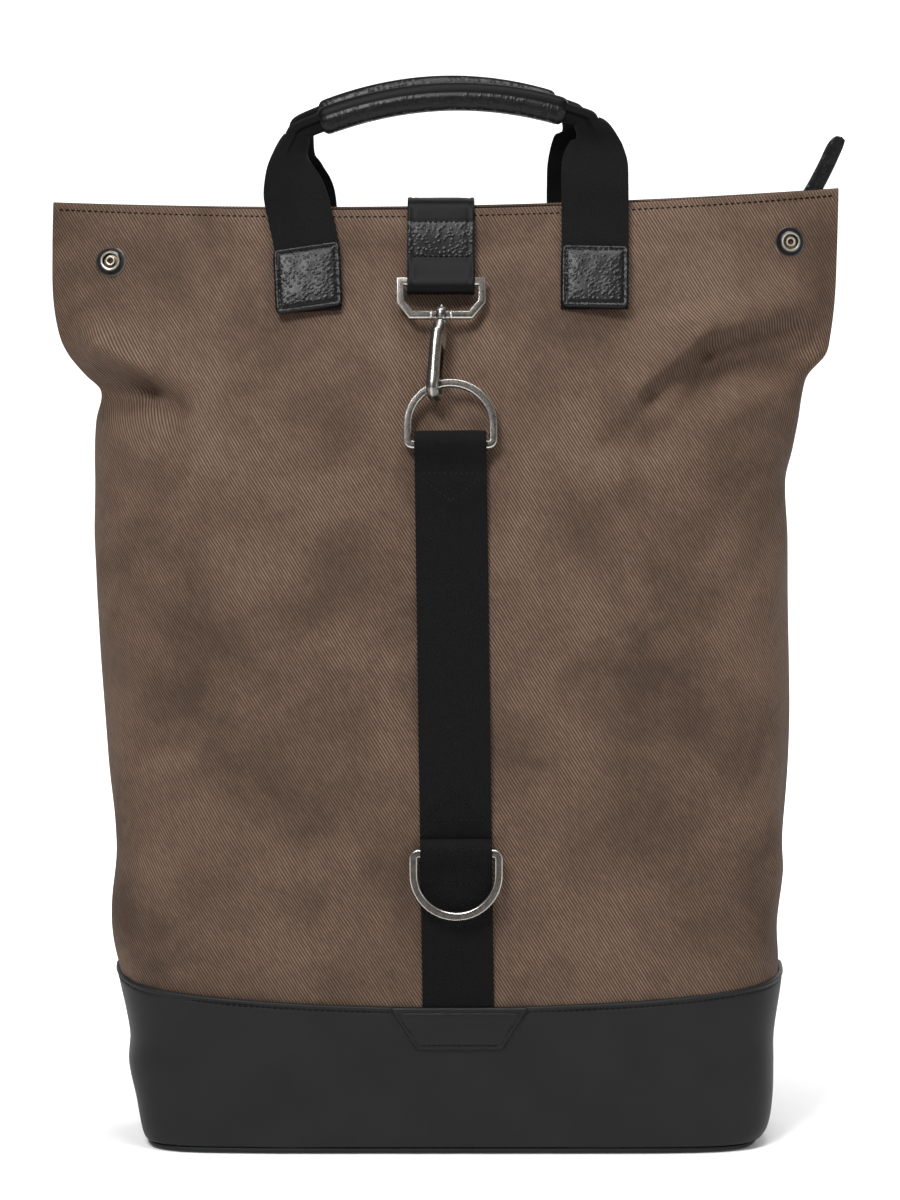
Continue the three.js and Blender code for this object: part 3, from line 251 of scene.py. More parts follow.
def band(
    path: np.ndarray,
    across: np.ndarray,
    width: np.ndarray,
    thick: np.ndarray,
    power: np.ndarray,
    count: int = 40,
    relief: Callable[[np.ndarray, np.ndarray], np.ndarray] | None = None,
    flat_width: float | None = None,
) -> Surface:
    """Closed band: a rounded section carried along a path, with both ends closed.

    The section is u = cos a to the power 2 / power and v = sin a to the power 2 / power,
    each with its sign, where u runs across the band and v through it.

    Args:
        path: centre line.
        across: direction of the width at each point.
        width: full width at each point.
        thick: full thickness at each point.
        power: power of the section, 2 for an ellipse and 8 for a flat strap.
        count: points round the section.
        relief: extra height from the place across and the place along, in millimetres.
        flat_width: width of the cloth when it is laid flat, for its pattern.

    Returns:
        The band as a closed surface.
    """
    along = tangents(path)
    across = unit(across - np.einsum("ij,ij->i", across, along)[:, None] * along)
    normal = np.cross(across, along)
    share = np.arange(count) / count
    corner = 2 * np.pi * share
    angle = corner - 0.24 * np.sin(4 * corner) / 2
    cos, sin = np.cos(angle)[None, :], np.sin(angle)[None, :]
    root = 2 / np.asarray(power, dtype=float)[:, None]
    u = np.sign(cos) * np.abs(cos) ** root
    v = np.sign(sin) * np.abs(sin) ** root
    reach = lengths(path)
    place = u * (flat_width / 2 if flat_width else width[:, None] / 2)
    height = v * thick[:, None] / 2
    if relief is not None:
        lift = relief(place, np.broadcast_to(reach[:, None], place.shape))
        height = height + np.sign(v) * lift * smoothstep(0.3, 0.9, np.abs(v))
    points = (
        path[:, None, :] + across[:, None, :] * (u * width[:, None] / 2)[..., None]
        + normal[:, None, :] * height[..., None]
    )
    flat = np.stack([place, np.broadcast_to(reach[:, None], place.shape)], axis=-1)
    rims = [points[:1] * (1 - k) + path[:1, None, :] * k for k in (1.0, 0.5)]
    ends = [points[-1:] * (1 - k) + path[-1:, None, :] * k for k in (0.5, 1.0)]
    points = np.concatenate([*rims, points, *ends])
    flat = np.concatenate([flat[:1], flat[:1], flat, flat[-1:], flat[-1:]])
    return Surface(points, flat, closed=True)


def level_band(
    path: np.ndarray,
    width: float,
    thick: float,
    power: float,
    count: int,
    relief: Callable[[np.ndarray, np.ndarray], np.ndarray] | None = None,
) -> Surface:
    """Band of one width and one thickness that lies level across X."""
    even = [np.full(len(path), value) for value in (width, thick, power)]
    return band(path, np.tile([1.0, 0.0, 0.0], (len(path), 1)), *even, count, relief)


def stitches(
    name: str,
    rows: Sequence[tuple[np.ndarray, np.ndarray]],
    finish: bpy.types.Material,
    pitch: float = 2.9,
    share: float = 0.72,
    radius: float = 0.42,
) -> bpy.types.Object:
    """Rows of thread: one small bowed bead for each stitch.

    Each bead is an ellipsoid of 6 by 5 points, stretched along the seam.

    Args:
        name: name of the piece.
        rows: each row's path and its outward directions.
        finish: material of the thread.
        pitch: distance from one stitch to the next in millimetres.
        share: part of the pitch that shows as thread.
        radius: half the thread's thickness in millimetres.

    Returns:
        The new object.
    """
    beads, flats = [], []
    turn = np.linspace(0, 2 * np.pi, 7)
    rise = np.linspace(-1, 1, 5) * np.pi / 2
    for path, outward in rows:
        joined = even_path(np.concatenate([path, outward], axis=1), pitch)
        middle = (joined[1:, :3] + joined[:-1, :3]) / 2
        along = unit(joined[1:, :3] - joined[:-1, :3])
        out = unit((joined[1:, 3:] + joined[:-1, 3:]) / 2)
        side = np.cross(along, out)
        step = np.linalg.norm(joined[1:, :3] - joined[:-1, :3], axis=1) * share / 2
        local = np.stack(
            [
                np.broadcast_to(np.sin(rise)[:, None], (5, 7)),
                np.cos(rise)[:, None] * np.cos(turn)[None, :] * radius,
                np.cos(rise)[:, None] * np.sin(turn)[None, :] * radius,
            ]
        )
        bead = (
            middle[:, None, None, :]
            + along[:, None, None, :] * (local[0][None] * step[:, None, None])[..., None]
            + out[:, None, None, :] * local[1][None, ..., None]
            + side[:, None, None, :] * local[2][None, ..., None]
        )
        beads.extend(bead)
        flats.extend([np.stack([local[0] * pitch, local[2]], axis=-1)] * len(bead))
    made = [Surface(points, flat) for points, flat in zip(beads, flats)]
    return piece_from(name, made, [finish], sharp=180.0)


# Finishes


def linear(code: str) -> tuple[float, float, float, float]:
    """Linear colour of an sRGB hex code."""
    parts = [int(code[k : k + 2], 16) / 255 for k in (1, 3, 5)]
    low = [p / 12.92 if p <= 0.04045 else ((p + 0.055) / 1.055) ** 2.4 for p in parts]
    return (low[0], low[1], low[2], 1.0)


def add(
    tree: bpy.types.NodeTree,
    kind: str,
    inputs: dict[str | int, Any] | None = None,
    **settings: Any,
) -> bpy.types.Node:
    """Adds one node with its settings, values and links.

    Args:
        tree: node tree of the material.
        kind: Blender's name of the node type.
        inputs: value or linked socket for each input.
        settings: properties of the node.

    Returns:
        The new node.
    """
    node = tree.nodes.new(kind)
    for key, value in settings.items():
        setattr(node, key, value)
    for key, value in (inputs or {}).items():
        socket = node.inputs[key]
        if isinstance(value, bpy.types.NodeSocket):
            tree.links.new(value, socket)
        else:
            socket.default_value = value
    return node


def mixed(tree: bpy.types.NodeTree, share: Any, first: Any, second: Any) -> bpy.types.NodeSocket:
    """Colour between two colours."""
    return add(tree, "ShaderNodeMix", {0: share, 6: first, 7: second}, data_type="RGBA").outputs[2]


def mapped(tree: bpy.types.NodeTree, value: Any, *ends: float, **settings: Any) -> bpy.types.NodeSocket:
    """Value carried from between the first two ends to between the last two."""
    inputs = {0: value, **{k + 1: end for k, end in enumerate(ends)}}
    return add(tree, "ShaderNodeMapRange", inputs, **settings).outputs[0]


def noise(tree: bpy.types.NodeTree, place: Any, scale: float, detail: float,
          **more: float) -> bpy.types.Node:
    """Noise of a scale per unit of the place."""
    return add(tree, "ShaderNodeTexNoise", {"Vector": place, "Scale": scale, "Detail": detail, **more})


def sines(tree: bpy.types.NodeTree, place: Any, pitch: float, way: str,
          **more: float) -> bpy.types.NodeSocket:
    """Even waves of a pitch in units of the place, along X or Y."""
    inputs = {"Vector": place, "Scale": 2 * math.pi / (20 * pitch), **more}
    return add(tree, "ShaderNodeTexWave", inputs, wave_type="BANDS", bands_direction=way).outputs[1]


def sums(tree: bpy.types.NodeTree, first: Any, times: Any, plus: Any) -> bpy.types.NodeSocket:
    """First times a factor, plus a value."""
    inputs = {0: first, 1: times, 2: plus}
    return add(tree, "ShaderNodeMath", inputs, operation="MULTIPLY_ADD").outputs[0]


def cloth_map(tree: bpy.types.NodeTree) -> bpy.types.NodeSocket:
    """The piece's own flat coordinates in millimetres."""
    return add(tree, "ShaderNodeUVMap", uv_map="cloth").outputs[0]


@dataclass(frozen=True)
class Finish:
    """What all finishes share: a name, a first colour, and how rough it is."""

    name: str
    colour: str
    roughness: float

    def start(self) -> tuple[bpy.types.Material, bpy.types.NodeTree, bpy.types.Node]:
        """New material with a plain shader and its output."""
        material = bpy.data.materials.new(self.name)
        material.use_nodes = True
        tree = material.node_tree
        tree.nodes.clear()
        shader = add(tree, "ShaderNodeBsdfPrincipled", {"Roughness": self.roughness})
        add(tree, "ShaderNodeOutputMaterial", {"Surface": shader.outputs[0]})
        material.diffuse_color = linear(self.colour)
        return material, tree, shader

    def relief(self, tree: bpy.types.NodeTree, shader: bpy.types.Node, height: Any, strength: float,
               depth: float, gloss: float | None = None) -> None:
        """Links a bump of a depth in millimetres, and sets how much the surface shines."""
        inputs = {"Strength": strength, "Distance": depth * MM, "Height": height}
        made = add(tree, "ShaderNodeBump", inputs).outputs[0]
        tree.links.new(made, shader.inputs["Normal"])
        if gloss is not None:
            shader.inputs["Specular IOR Level"].default_value = gloss


@dataclass(frozen=True)
class TwillCanvas(Finish):
    """Waxed cotton canvas, twill woven and garment dyed.

    The diagonal wales show as light raised threads over dark gaps, and the wax leaves
    soft darker clouds where the cloth was handled.
    """

    wale: str = "#786354"
    gap: str = "#3c2e26"
    cloud: str = "#2e221a"
    pitch: float = 1.36
    lean: float = 32.0

    def build(self) -> bpy.types.Material:
        """Twill from the cloth map: bands across the wales, broken by slubs."""
        material, tree, shader = self.start()
        cloth = cloth_map(tree)
        turned = add(
            tree, "ShaderNodeMapping", {"Vector": cloth, "Rotation": (0, 0, -math.radians(self.lean))}
        ).outputs[0]
        slub_place = add(tree, "ShaderNodeMapping", {"Vector": turned, "Scale": (0.62, 0.16, 1)}).outputs[0]
        slub = noise(tree, slub_place, 1.0, 3.0, Roughness=0.6).outputs[0]
        uneven = {"Distortion": 0.7, "Detail": 2.0, "Detail Scale": 0.7, "Detail Roughness": 0.6}
        wales = sines(tree, turned, self.pitch, "X", **uneven)
        crossing = sines(tree, cloth, 0.95, "Y", Distortion=0.6)
        broken = mapped(tree, slub, 0.34, 0.66, 0.62, 1.05)
        lit = add(tree, "ShaderNodeMath", {0: wales, 1: broken}, operation="MULTIPLY").outputs[0]
        threads = mixed(tree, lit, linear(self.gap), linear(self.wale))
        broad = noise(tree, cloth, 0.014, 4.0, Roughness=0.6, Distortion=0.4).outputs[0]
        clouds = mapped(tree, broad, 0.4, 0.66, 0.0, 0.62)
        coloured = mixed(tree, clouds, threads, linear(self.cloud))
        tree.links.new(coloured, shader.inputs["Base Color"])
        self.relief(tree, shader, sums(tree, crossing, 0.25, lit), 0.45, 0.3, 0.12)
        return material


@dataclass(frozen=True)
class Webbing(Finish):
    """Herringbone nylon webbing, piece dyed black, with a fine rib along its chevrons."""

    rib: str = "#19191a"
    pitch: float = 1.7
    slope: float = 0.55

    def build(self) -> bpy.types.Material:
        """Chevrons from the cloth map: bands of the place along plus the place from the middle."""
        material, tree, shader = self.start()
        cloth = cloth_map(tree)
        apart = add(tree, "ShaderNodeSeparateXYZ", {0: cloth})
        folded = add(
            tree, "ShaderNodeMath", {0: apart.outputs[0], 1: 17.5}, operation="PINGPONG"
        ).outputs[0]
        rising = sums(tree, folded, 1 / self.slope, apart.outputs[1])
        place = add(tree, "ShaderNodeCombineXYZ", {0: rising, 1: folded}).outputs[0]
        ribs = sines(tree, place, self.pitch, "X", Distortion=0.5, Detail=1.0)
        fuzz = noise(tree, cloth, 1.3, 4.0).outputs[0]
        tone = add(tree, "ShaderNodeMath", {0: ribs, 1: fuzz}, operation="MULTIPLY").outputs[0]
        colour = mixed(tree, tone, linear(self.colour), linear(self.rib))
        tree.links.new(colour, shader.inputs["Base Color"])
        self.relief(tree, shader, ribs, 0.8, 0.3, 0.12)
        return material


@dataclass(frozen=True)
class Leather(Finish):
    """Chrome tanned cowhide.

    Pebbled hide was tumbled, so its grain stands in round cells that catch the light, and
    smooth hide was corrected, so only fine pores and soft clouds are left.
    """

    worn: str = "#3a3b3d"
    cell: float = 1.5
    depth: float = 0.25
    clouds: float = 0.35
    shine: float = 0.45

    def build(self) -> bpy.types.Material:
        """Grain from Voronoi cells and pores from noise, on the piece's own cloth map."""
        material, tree, shader = self.start()
        cloth = cloth_map(tree)
        bent = noise(tree, cloth, 0.55, 2.0).outputs[1]
        moved = add(
            tree,
            "ShaderNodeVectorMath",
            {0: bent, 1: (0.7, 0.7, 0.0), 2: cloth},
            operation="MULTIPLY_ADD",
        ).outputs[0]
        cells = add(
            tree,
            "ShaderNodeTexVoronoi",
            {"Vector": moved, "Scale": 1 / self.cell, "Randomness": 0.9, "Smoothness": 0.35},
            feature="SMOOTH_F1",
        ).outputs[0]
        grain = mapped(tree, cells, 0.05, 0.62, 1.0, 0.0, interpolation_type="SMOOTHSTEP")
        pores = noise(tree, cloth, 3.2, 4.0, Roughness=0.6).outputs[0]
        broad = noise(tree, cloth, 0.03, 3.0).outputs[0]
        tone = mapped(tree, broad, 0.35, 0.7, 0.0, self.clouds)
        colour = mixed(tree, tone, linear(self.colour), linear(self.worn))
        tree.links.new(colour, shader.inputs["Base Color"])
        uneven = mapped(tree, pores, 0.2, 0.8, self.roughness - 0.07, self.roughness + 0.09)
        tree.links.new(uneven, shader.inputs["Roughness"])
        self.relief(tree, shader, sums(tree, pores, 0.12, grain), 0.6, self.depth, self.shine)
        return material


@dataclass(frozen=True)
class AntiqueNickel(Finish):
    """Antique nickel plate on cast zinc, tumbled, so it is bright on edges and smoky between.

    The second coordinate of the piece's map is 1 on its worn edges and 0 on its faces.
    """

    smoke: str = "#2f2c29"
    edge: str = "#cfccc5"

    def build(self) -> bpy.types.Material:
        """Smoky patches and fine rubbing marks on the object's own coordinates."""
        material, tree, shader = self.start()
        place = add(tree, "ShaderNodeTexCoord").outputs["Object"]
        patches = noise(tree, place, 420.0, 5.0, Roughness=0.6).outputs[0]
        tone = mapped(tree, patches, 0.36, 0.7, 0.0, 0.55)
        colour = mixed(tree, tone, linear(self.colour), linear(self.smoke))
        worn = add(tree, "ShaderNodeSeparateXYZ", {0: cloth_map(tree)}).outputs[1]
        rubbed = mixed(tree, worn, colour, linear(self.edge))
        tree.links.new(rubbed, shader.inputs["Base Color"])
        marks = noise(tree, place, 1500.0, 3.0).outputs[0]
        rough = mapped(tree, marks, 0.3, 0.7, self.roughness - 0.06, self.roughness + 0.1)
        tree.links.new(rough, shader.inputs["Roughness"])
        shader.inputs["Metallic"].default_value = 1.0
        self.relief(tree, shader, marks, 0.25, 0.05)
        return material


@dataclass(frozen=True)
class PlainCloth(Finish):
    """Plain woven lining, mesh or thread: a fine even grid of yarns."""

    light: str = "#2e2e30"
    pitch: float = 0.9

    def build(self) -> bpy.types.Material:
        """Grid of yarns from two crossed waves on the cloth map."""
        material, tree, shader = self.start()
        cloth = cloth_map(tree)
        yarns = [sines(tree, cloth, self.pitch, way, Distortion=0.4) for way in ("X", "Y")]
        woven = add(tree, "ShaderNodeMath", {0: yarns[0], 1: yarns[1]}, operation="MULTIPLY").outputs[0]
        colour = mixed(tree, woven, linear(self.colour), linear(self.light))
        tree.links.new(colour, shader.inputs["Base Color"])
        self.relief(tree, shader, woven, 0.5, 0.2, 0.12)
        return material


@dataclass(frozen=True)
class Studio(Finish):
    """Matt painted studio sweep that glows as painted light, more further behind the bag, so that it stays
    white without a lamp behind it.
    """

    near: float = -0.12
    far: float = 0.9
    glow: float = 0.9

    def build(self) -> bpy.types.Material:
        """Pale tone with broad noise, and a painted glow that grows behind the bag."""
        material, tree, shader = self.start()
        place = add(tree, "ShaderNodeTexCoord").outputs["Object"]
        broad = add(tree, "ShaderNodeTexNoise", {"Vector": place, "Scale": 0.7}).outputs[0]
        tone = mixed(tree, broad, linear(self.colour), linear("#f4f4f3"))
        tree.links.new(tone, shader.inputs["Base Color"])
        behind = add(tree, "ShaderNodeSeparateXYZ", {0: place}).outputs[1]
        # Painted light: the emission rises from 0 at near to glow at far along the sweep's Y in metres, so
        # the floor by the bag glows a little and the backdrop more.
        glow = mapped(tree, behind, self.near, self.far, 0.0, self.glow)
        tree.links.new(tone, shader.inputs["Emission Color"])
        tree.links.new(glow, shader.inputs["Emission Strength"])
        return material


class Wardrobe:
    """All finishes of the bag, built once."""

    def __init__(self) -> None:
        """Builds every material."""
        self.canvas = TwillCanvas("waxed_twill_canvas", "#6b5446", 0.78).build()
        self.lining = PlainCloth("woven_cotton_lining", "#1f1b18", 0.85, light="#2c2621").build()
        self.base = Leather(
            "smooth_charcoal_cowhide", "#181819", 0.55, worn="#212223", cell=0.8, depth=0.03,
            shine=0.18,
        ).build()
        self.pebbled = Leather(
            "pebbled_black_cowhide", "#070708", 0.36, worn="#0e0e11", cell=1.8, depth=0.36,
            shine=0.24,
        ).build()
        self.smooth = Leather(
            "smooth_black_cowhide", "#050506", 0.5, worn="#0b0b0d", cell=0.7, depth=0.03,
            shine=0.1,
        ).build()
        self.label = Leather(
            "embossing_grade_black_cowhide", "#101011", 0.45, worn="#18181a", cell=1.1, depth=0.08,
            shine=0.22,
        ).build()
        self.webbing = Webbing("herringbone_black_webbing", "#060606", 0.8).build()
        self.padding = PlainCloth("black_ballistic_nylon", "#0e0e10", 0.7, light="#1f1f22").build()
        self.binding = PlainCloth("black_grosgrain_binding", "#0b0b0c", 0.75, light="#171719").build()
        self.thread = PlainCloth("black_bonded_thread", "#0a0a0a", 0.45, light="#1b1b1c").build()
        self.seam_thread = PlainCloth("dark_brown_thread", "#0e0907", 0.6, light="#1b120e").build()
        self.nickel = AntiqueNickel("antique_nickel_plate", "#5b5753", 0.3).build()
        self.gunmetal = AntiqueNickel("gunmetal_cap", "#33312f", 0.34, smoke="#1d1b1a").build()
        self.brass = AntiqueNickel("smoky_brass_socket", "#8a7853", 0.35, smoke="#3d3428").build()
        self.studio = Studio("matt_studio_sweep", "#eeeeee", 0.9).build()


# Body


@dataclass(frozen=True)
class Section:
    """One level of the body: shares of the half sizes and powers of the outline."""

    up: float
    left: float
    right: float
    front: float
    back: float
    face: float
    side: float
    edge: float


@dataclass(frozen=True)
class Fold:
    """Ridge between two points of a panel, pressed in where high is below 0."""

    x1: float
    z1: float
    x2: float
    z2: float
    wide: float
    high: float


SECTIONS = (
    Section(0.000, 0.852, 0.882, 0.81, 0.81, 8.0, 5.5, 0),
    Section(0.017, 0.872, 0.920, 0.83, 0.83, 8.0, 5.0, 0),
    Section(0.047, 0.890, 0.935, 0.85, 0.85, 7.5, 4.4, 0),
    Section(0.085, 0.912, 0.938, 0.88, 0.87, 7.0, 3.8, 0),
    Section(0.117, 0.909, 0.940, 0.91, 0.89, 6.4, 3.3, 0),
    Section(0.187, 0.948, 0.966, 0.95, 0.92, 5.5, 2.8, 0),
    Section(0.234, 0.965, 0.961, 0.97, 0.94, 5.0, 2.7, 0),
    Section(0.319, 0.957, 0.977, 1.00, 0.97, 4.4, 2.6, 0),
    Section(0.383, 0.974, 0.991, 1.01, 0.98, 4.0, 2.5, 0),
    Section(0.447, 0.988, 0.997, 1.01, 0.98, 3.9, 2.4, 0),
    Section(0.532, 1.003, 0.993, 0.99, 0.97, 3.8, 2.35, 0),
    Section(0.638, 1.014, 0.986, 0.96, 0.94, 3.6, 2.3, 0),
    Section(0.702, 1.013, 0.980, 0.92, 0.90, 3.5, 2.2, 0),
    Section(0.734, 1.014, 1.000, 0.89, 0.86, 3.4, 2.1, 0),
    Section(0.766, 1.009, 1.017, 0.84, 0.82, 3.2, 1.9, 0.1),
    Section(0.796, 0.995, 1.029, 0.78, 0.76, 3.0, 1.6, 0.4),
    Section(0.813, 1.040, 1.043, 0.74, 0.72, 2.9, 1.4, 0.7),
    Section(0.834, 1.087, 1.093, 0.69, 0.67, 2.7, 1.25, 0.9),
    Section(0.855, 1.113, 1.107, 0.63, 0.61, 2.6, 1.12, 1),
    Section(0.894, 1.130, 1.119, 0.52, 0.50, 2.4, 1.04, 1),
    Section(0.947, 1.131, 1.124, 0.35, 0.34, 2.2, 1, 1),
    Section(1.000, 1.127, 1.127, 0.21, 0.21, 2.0, 1, 1),
)
FRONT_FOLDS = (
    Fold(1.10, 0.885, 0.72, 0.842, 0.085, 0.045),
    Fold(0.72, 0.842, 0.52, 0.775, 0.085, 0.050),
    Fold(0.52, 0.775, 0.44, 0.710, 0.090, 0.028),
    Fold(1.03, 0.838, 0.74, 0.810, 0.065, -0.055),
    Fold(0.74, 0.810, 0.56, 0.745, 0.075, -0.035),
    Fold(1.03, 0.806, 0.80, 0.780, 0.070, 0.026),
    Fold(-1.12, 0.900, -0.98, 0.838, 0.080, 0.030),
    Fold(-0.98, 0.838, -0.76, 0.805, 0.075, 0.030),
    Fold(-1.01, 0.797, -0.78, 0.785, 0.065, -0.050),
    Fold(0.00, 0.895, 0.00, 0.790, 0.140, -0.080),
    Fold(0.30, 0.900, 0.24, 0.830, 0.110, 0.020),
    Fold(-0.93, 0.470, -0.62, 0.385, 0.100, -0.022),
    Fold(-0.30, 0.410, 0.05, 0.385, 0.160, 0.016),
    Fold(0.95, 0.550, 0.66, 0.480, 0.110, -0.020),
    Fold(0.93, 0.290, 0.86, 0.205, 0.060, 0.020),
)
BACK_FOLDS = (
    Fold(1.02, 0.830, 0.62, 0.775, 0.090, -0.040),
    Fold(-1.02, 0.825, -0.66, 0.780, 0.090, -0.040),
    Fold(-0.80, 0.450, -0.40, 0.380, 0.140, -0.020),
    Fold(0.30, 0.330, 0.75, 0.270, 0.140, -0.020),
)
BASE_FOLDS = (Fold(-0.74, 0.075, -0.62, 0.045, 0.090, -0.022), Fold(0.55, 0.120, 0.80, 0.070, 0.120, 0.012))
CREASES = (
    Fold(0.98, 0.895, 0.72, 0.866, 0.045, 0.030),
    Fold(0.72, 0.866, 0.53, 0.806, 0.045, 0.030),
    Fold(1.00, 0.862, 0.74, 0.840, 0.034, -0.046),
    Fold(0.74, 0.840, 0.58, 0.792, 0.034, -0.044),
    Fold(0.58, 0.792, 0.45, 0.740, 0.036, -0.026),
    Fold(0.62, 0.735, 0.40, 0.690, 0.070, 0.016),
    Fold(-1.00, 0.850, -0.86, 0.815, 0.035, 0.020),
    Fold(-1.00, 0.820, -0.89, 0.800, 0.036, -0.046),
    Fold(-0.89, 0.800, -0.78, 0.774, 0.040, -0.034),
    Fold(-0.86, 0.740, -0.56, 0.715, 0.070, 0.014),
    Fold(-0.70, 0.905, -0.86, 0.872, 0.050, 0.010),
    Fold(-0.98, 0.600, -0.80, 0.540, 0.060, -0.016),
    Fold(0.96, 0.640, 0.78, 0.560, 0.060, -0.016),
    Fold(-0.70, 0.300, -0.36, 0.285, 0.050, 0.014),
    Fold(-0.42, 0.335, -0.16, 0.340, 0.045, -0.014),
    Fold(-0.14, 0.940, -0.13, 0.870, 0.045, -0.006),
    Fold(0.12, 0.940, 0.14, 0.870, 0.045, -0.006),
)


@dataclass
class BagForm:
    """Shape of the bag's two panels, from the bottom to the mouth."""

    height: float = 470.5
    half_width: float = 172.5
    half_depth: float = 59.0
    mouth_rise: float = 7.0
    front_sag: float = 7.0
    back_sag: float = 5.0
    wall: float = 2.0
    leather_wall: float = 1.8
    gap: float = 0.3
    seam_middle: float = 74.5
    seam_side: float = 88.0
    seam_lap: float = 12.0
    seam_calm: float = 0.9

    def column(self, name: str, up: np.ndarray) -> np.ndarray:
        """One column of the table at each height, by the cubic through its rows.

        Args:
            name: field of Section.
            up: heights as shares of the bag's height.

        Returns:
            The smooth values.
        """
        ups = np.array([s.up for s in SECTIONS])
        values = np.array([float(getattr(s, name)) for s in SECTIONS])
        slope = np.empty_like(values)
        slope[1:-1] = (values[2:] - values[:-2]) / (ups[2:] - ups[:-2])
        slope[0] = (values[1] - values[0]) / (ups[1] - ups[0])
        slope[-1] = (values[-1] - values[-2]) / (ups[-1] - ups[-2])
        at = np.clip(up, ups[0], ups[-1])
        i = np.clip(np.searchsorted(ups, at, side="left") - 1, 0, len(ups) - 2)
        span = ups[i + 1] - ups[i]
        t = (at - ups[i]) / span
        rise = values[i + 1] - values[i]
        m0, m1 = slope[i] * span, slope[i + 1] * span
        return values[i] + m0 * t + (3 * rise - 2 * m0 - m1) * t**2 + (m0 + m1 - 2 * rise) * t**3

    def seam_height(self, across: np.ndarray) -> np.ndarray:
        """Height of the leather's upper edge, lowest in the middle."""
        return self.seam_middle + (self.seam_side - self.seam_middle) * across**2

    def mouth_height(self, side: Side, across: np.ndarray) -> np.ndarray:
        """Height of a panel's upper edge, which sags in the middle and leans to the right."""
        sag = self.front_sag if side is Side.FRONT else self.back_sag
        return self.height + self.mouth_rise / 2 * across - sag * (1 - across**2)

    def fold_height(self, folds: Sequence[Fold], x: np.ndarray, z: np.ndarray) -> np.ndarray:
        """Sum of the folds: exp of minus the squared share of each ridge's width."""
        height = np.zeros(np.broadcast(x, z).shape)
        for fold in folds:
            start = (fold.x1 * self.half_width, fold.z1 * self.height)
            run = (fold.x2 * self.half_width - start[0], fold.z2 * self.height - start[1])
            dx, dz = x - start[0], z - start[1]
            share = np.clip((dx * run[0] + dz * run[1]) / (run[0] ** 2 + run[1] ** 2), 0, 1)
            away = np.hypot(dx - share * run[0], dz - share * run[1]) / (fold.wide * self.half_width)
            height = height + fold.high * 2 * self.half_depth * np.exp(-(away**2))
        return height

    def levels(self, side: Side, x: np.ndarray, z: np.ndarray) -> tuple[np.ndarray, ...]:
        """Half width, depth, powers and seam offset at each place's height."""
        up = z / self.height
        reach = self.half_width * np.where(x < 0, self.column("left", up), self.column("right", up))
        depth = self.half_depth * self.column("front" if side is Side.FRONT else "back", up)
        seam = self.gap / 2 + self.wall * self.column("edge", up)
        return reach, depth, self.column("face", up), self.column("side", up), seam

    def panel(
        self,
        side: Side,
        across: np.ndarray,
        z: np.ndarray,
        offset: np.ndarray | float,
        folds: Sequence[Fold],
        relief: Callable[[np.ndarray, np.ndarray], np.ndarray] | None = None,
    ) -> tuple[np.ndarray, np.ndarray]:
        """Points of a panel, spaced evenly along the cloth from the middle to each seam.

        Folds and relief fade out towards the side seams, where both panels meet.

        With t from 0 to 90 degrees the outline is x = reach sin t to the power 2 / face
        and y = seam + depth cos t to the power 2 / side. The offset, the folds and the
        relief move each point along the outline's normal.

        Args:
            side: front or back.
            across: place between the seams, from -1 to 1.
            z: height of each point.
            offset: distance from the canvas's outer face.
            folds: folds of the panel.
            relief: small extra height from the flat coordinates.

        Returns:
            The points, and their flat coordinates in millimetres.
        """
        across, z = np.broadcast_arrays(np.asarray(across, float), np.asarray(z, float))
        hand = np.where(across < 0, -1.0, 1.0)
        reach, depth, face, power, seam = self.levels(side, hand, z)
        share = np.linspace(0, 1, 121)
        t = np.pi / 2 * (3 * share**2 - 2 * share**3)
        sin, cos = np.sin(t), np.maximum(np.cos(t), 0)
        x = reach[..., None] * sin ** (2 / face[..., None])
        y = seam[..., None] + depth[..., None] * cos ** (2 / power[..., None])
        dx, dy = np.diff(x, axis=-1), np.diff(y, axis=-1)
        step = np.hypot(dx, dy)
        along = np.concatenate([np.zeros(step.shape[:-1] + (1,)), np.cumsum(step, axis=-1)], axis=-1)
        wanted = np.abs(across) * along[..., -1]
        i = np.clip(np.sum(along < wanted[..., None], axis=-1), 1, len(share) - 1)[..., None]

        def pick(values: np.ndarray, at: np.ndarray) -> np.ndarray:
            """Values at one place of the last axis."""
            return np.take_along_axis(values, at, axis=-1)[..., 0]

        part = (wanted - pick(along, i - 1)) / np.maximum(pick(step, i - 1), 1e-9)
        nx, ny = -dy / np.maximum(step, 1e-9), dx / np.maximum(step, 1e-9)
        ends = [np.concatenate([n[..., :1], n, n[..., -1:]], axis=-1) for n in (nx, ny)]
        nodes = [(n[..., 1:] + n[..., :-1]) / 2 for n in ends]
        normal = [pick(n, i - 1) * (1 - part) + pick(n, i) * part for n in nodes]
        size = np.hypot(normal[0], normal[1])
        px = pick(x, i - 1) * (1 - part) + pick(x, i) * part
        py = pick(y, i - 1) * (1 - part) + pick(y, i) * part
        flat = np.stack([hand * wanted, z], axis=-1)
        calm = 1 - smoothstep(self.seam_calm, 1, np.abs(across))
        extra = self.fold_height(folds, hand * px, z)
        if relief is not None:
            extra = extra + relief(flat[..., 0], z)
        away = offset + extra * calm
        px = px + normal[0] / size * away
        py = np.maximum(py + normal[1] / size * away, self.gap / 2)
        return np.stack([hand * px, side.value * py, z], axis=-1), flat

    def depth_at(self, side: Side, x: np.ndarray, z: np.ndarray, folds: Sequence[Fold]) -> np.ndarray:
        """Distance from y = 0 of the outer face, from the outline solved for y.

        y = seam + depth times (1 - (x / reach) to the power face) to the power 1 / side.
        """
        x, z = np.broadcast_arrays(np.asarray(x, float), np.asarray(z, float))
        reach, depth, face, power, seam = self.levels(side, x, z)
        inside = np.clip(1 - (np.abs(x) / reach) ** face, 0, 1)
        return seam + depth * inside ** (1 / power) + self.fold_height(folds, x, z)

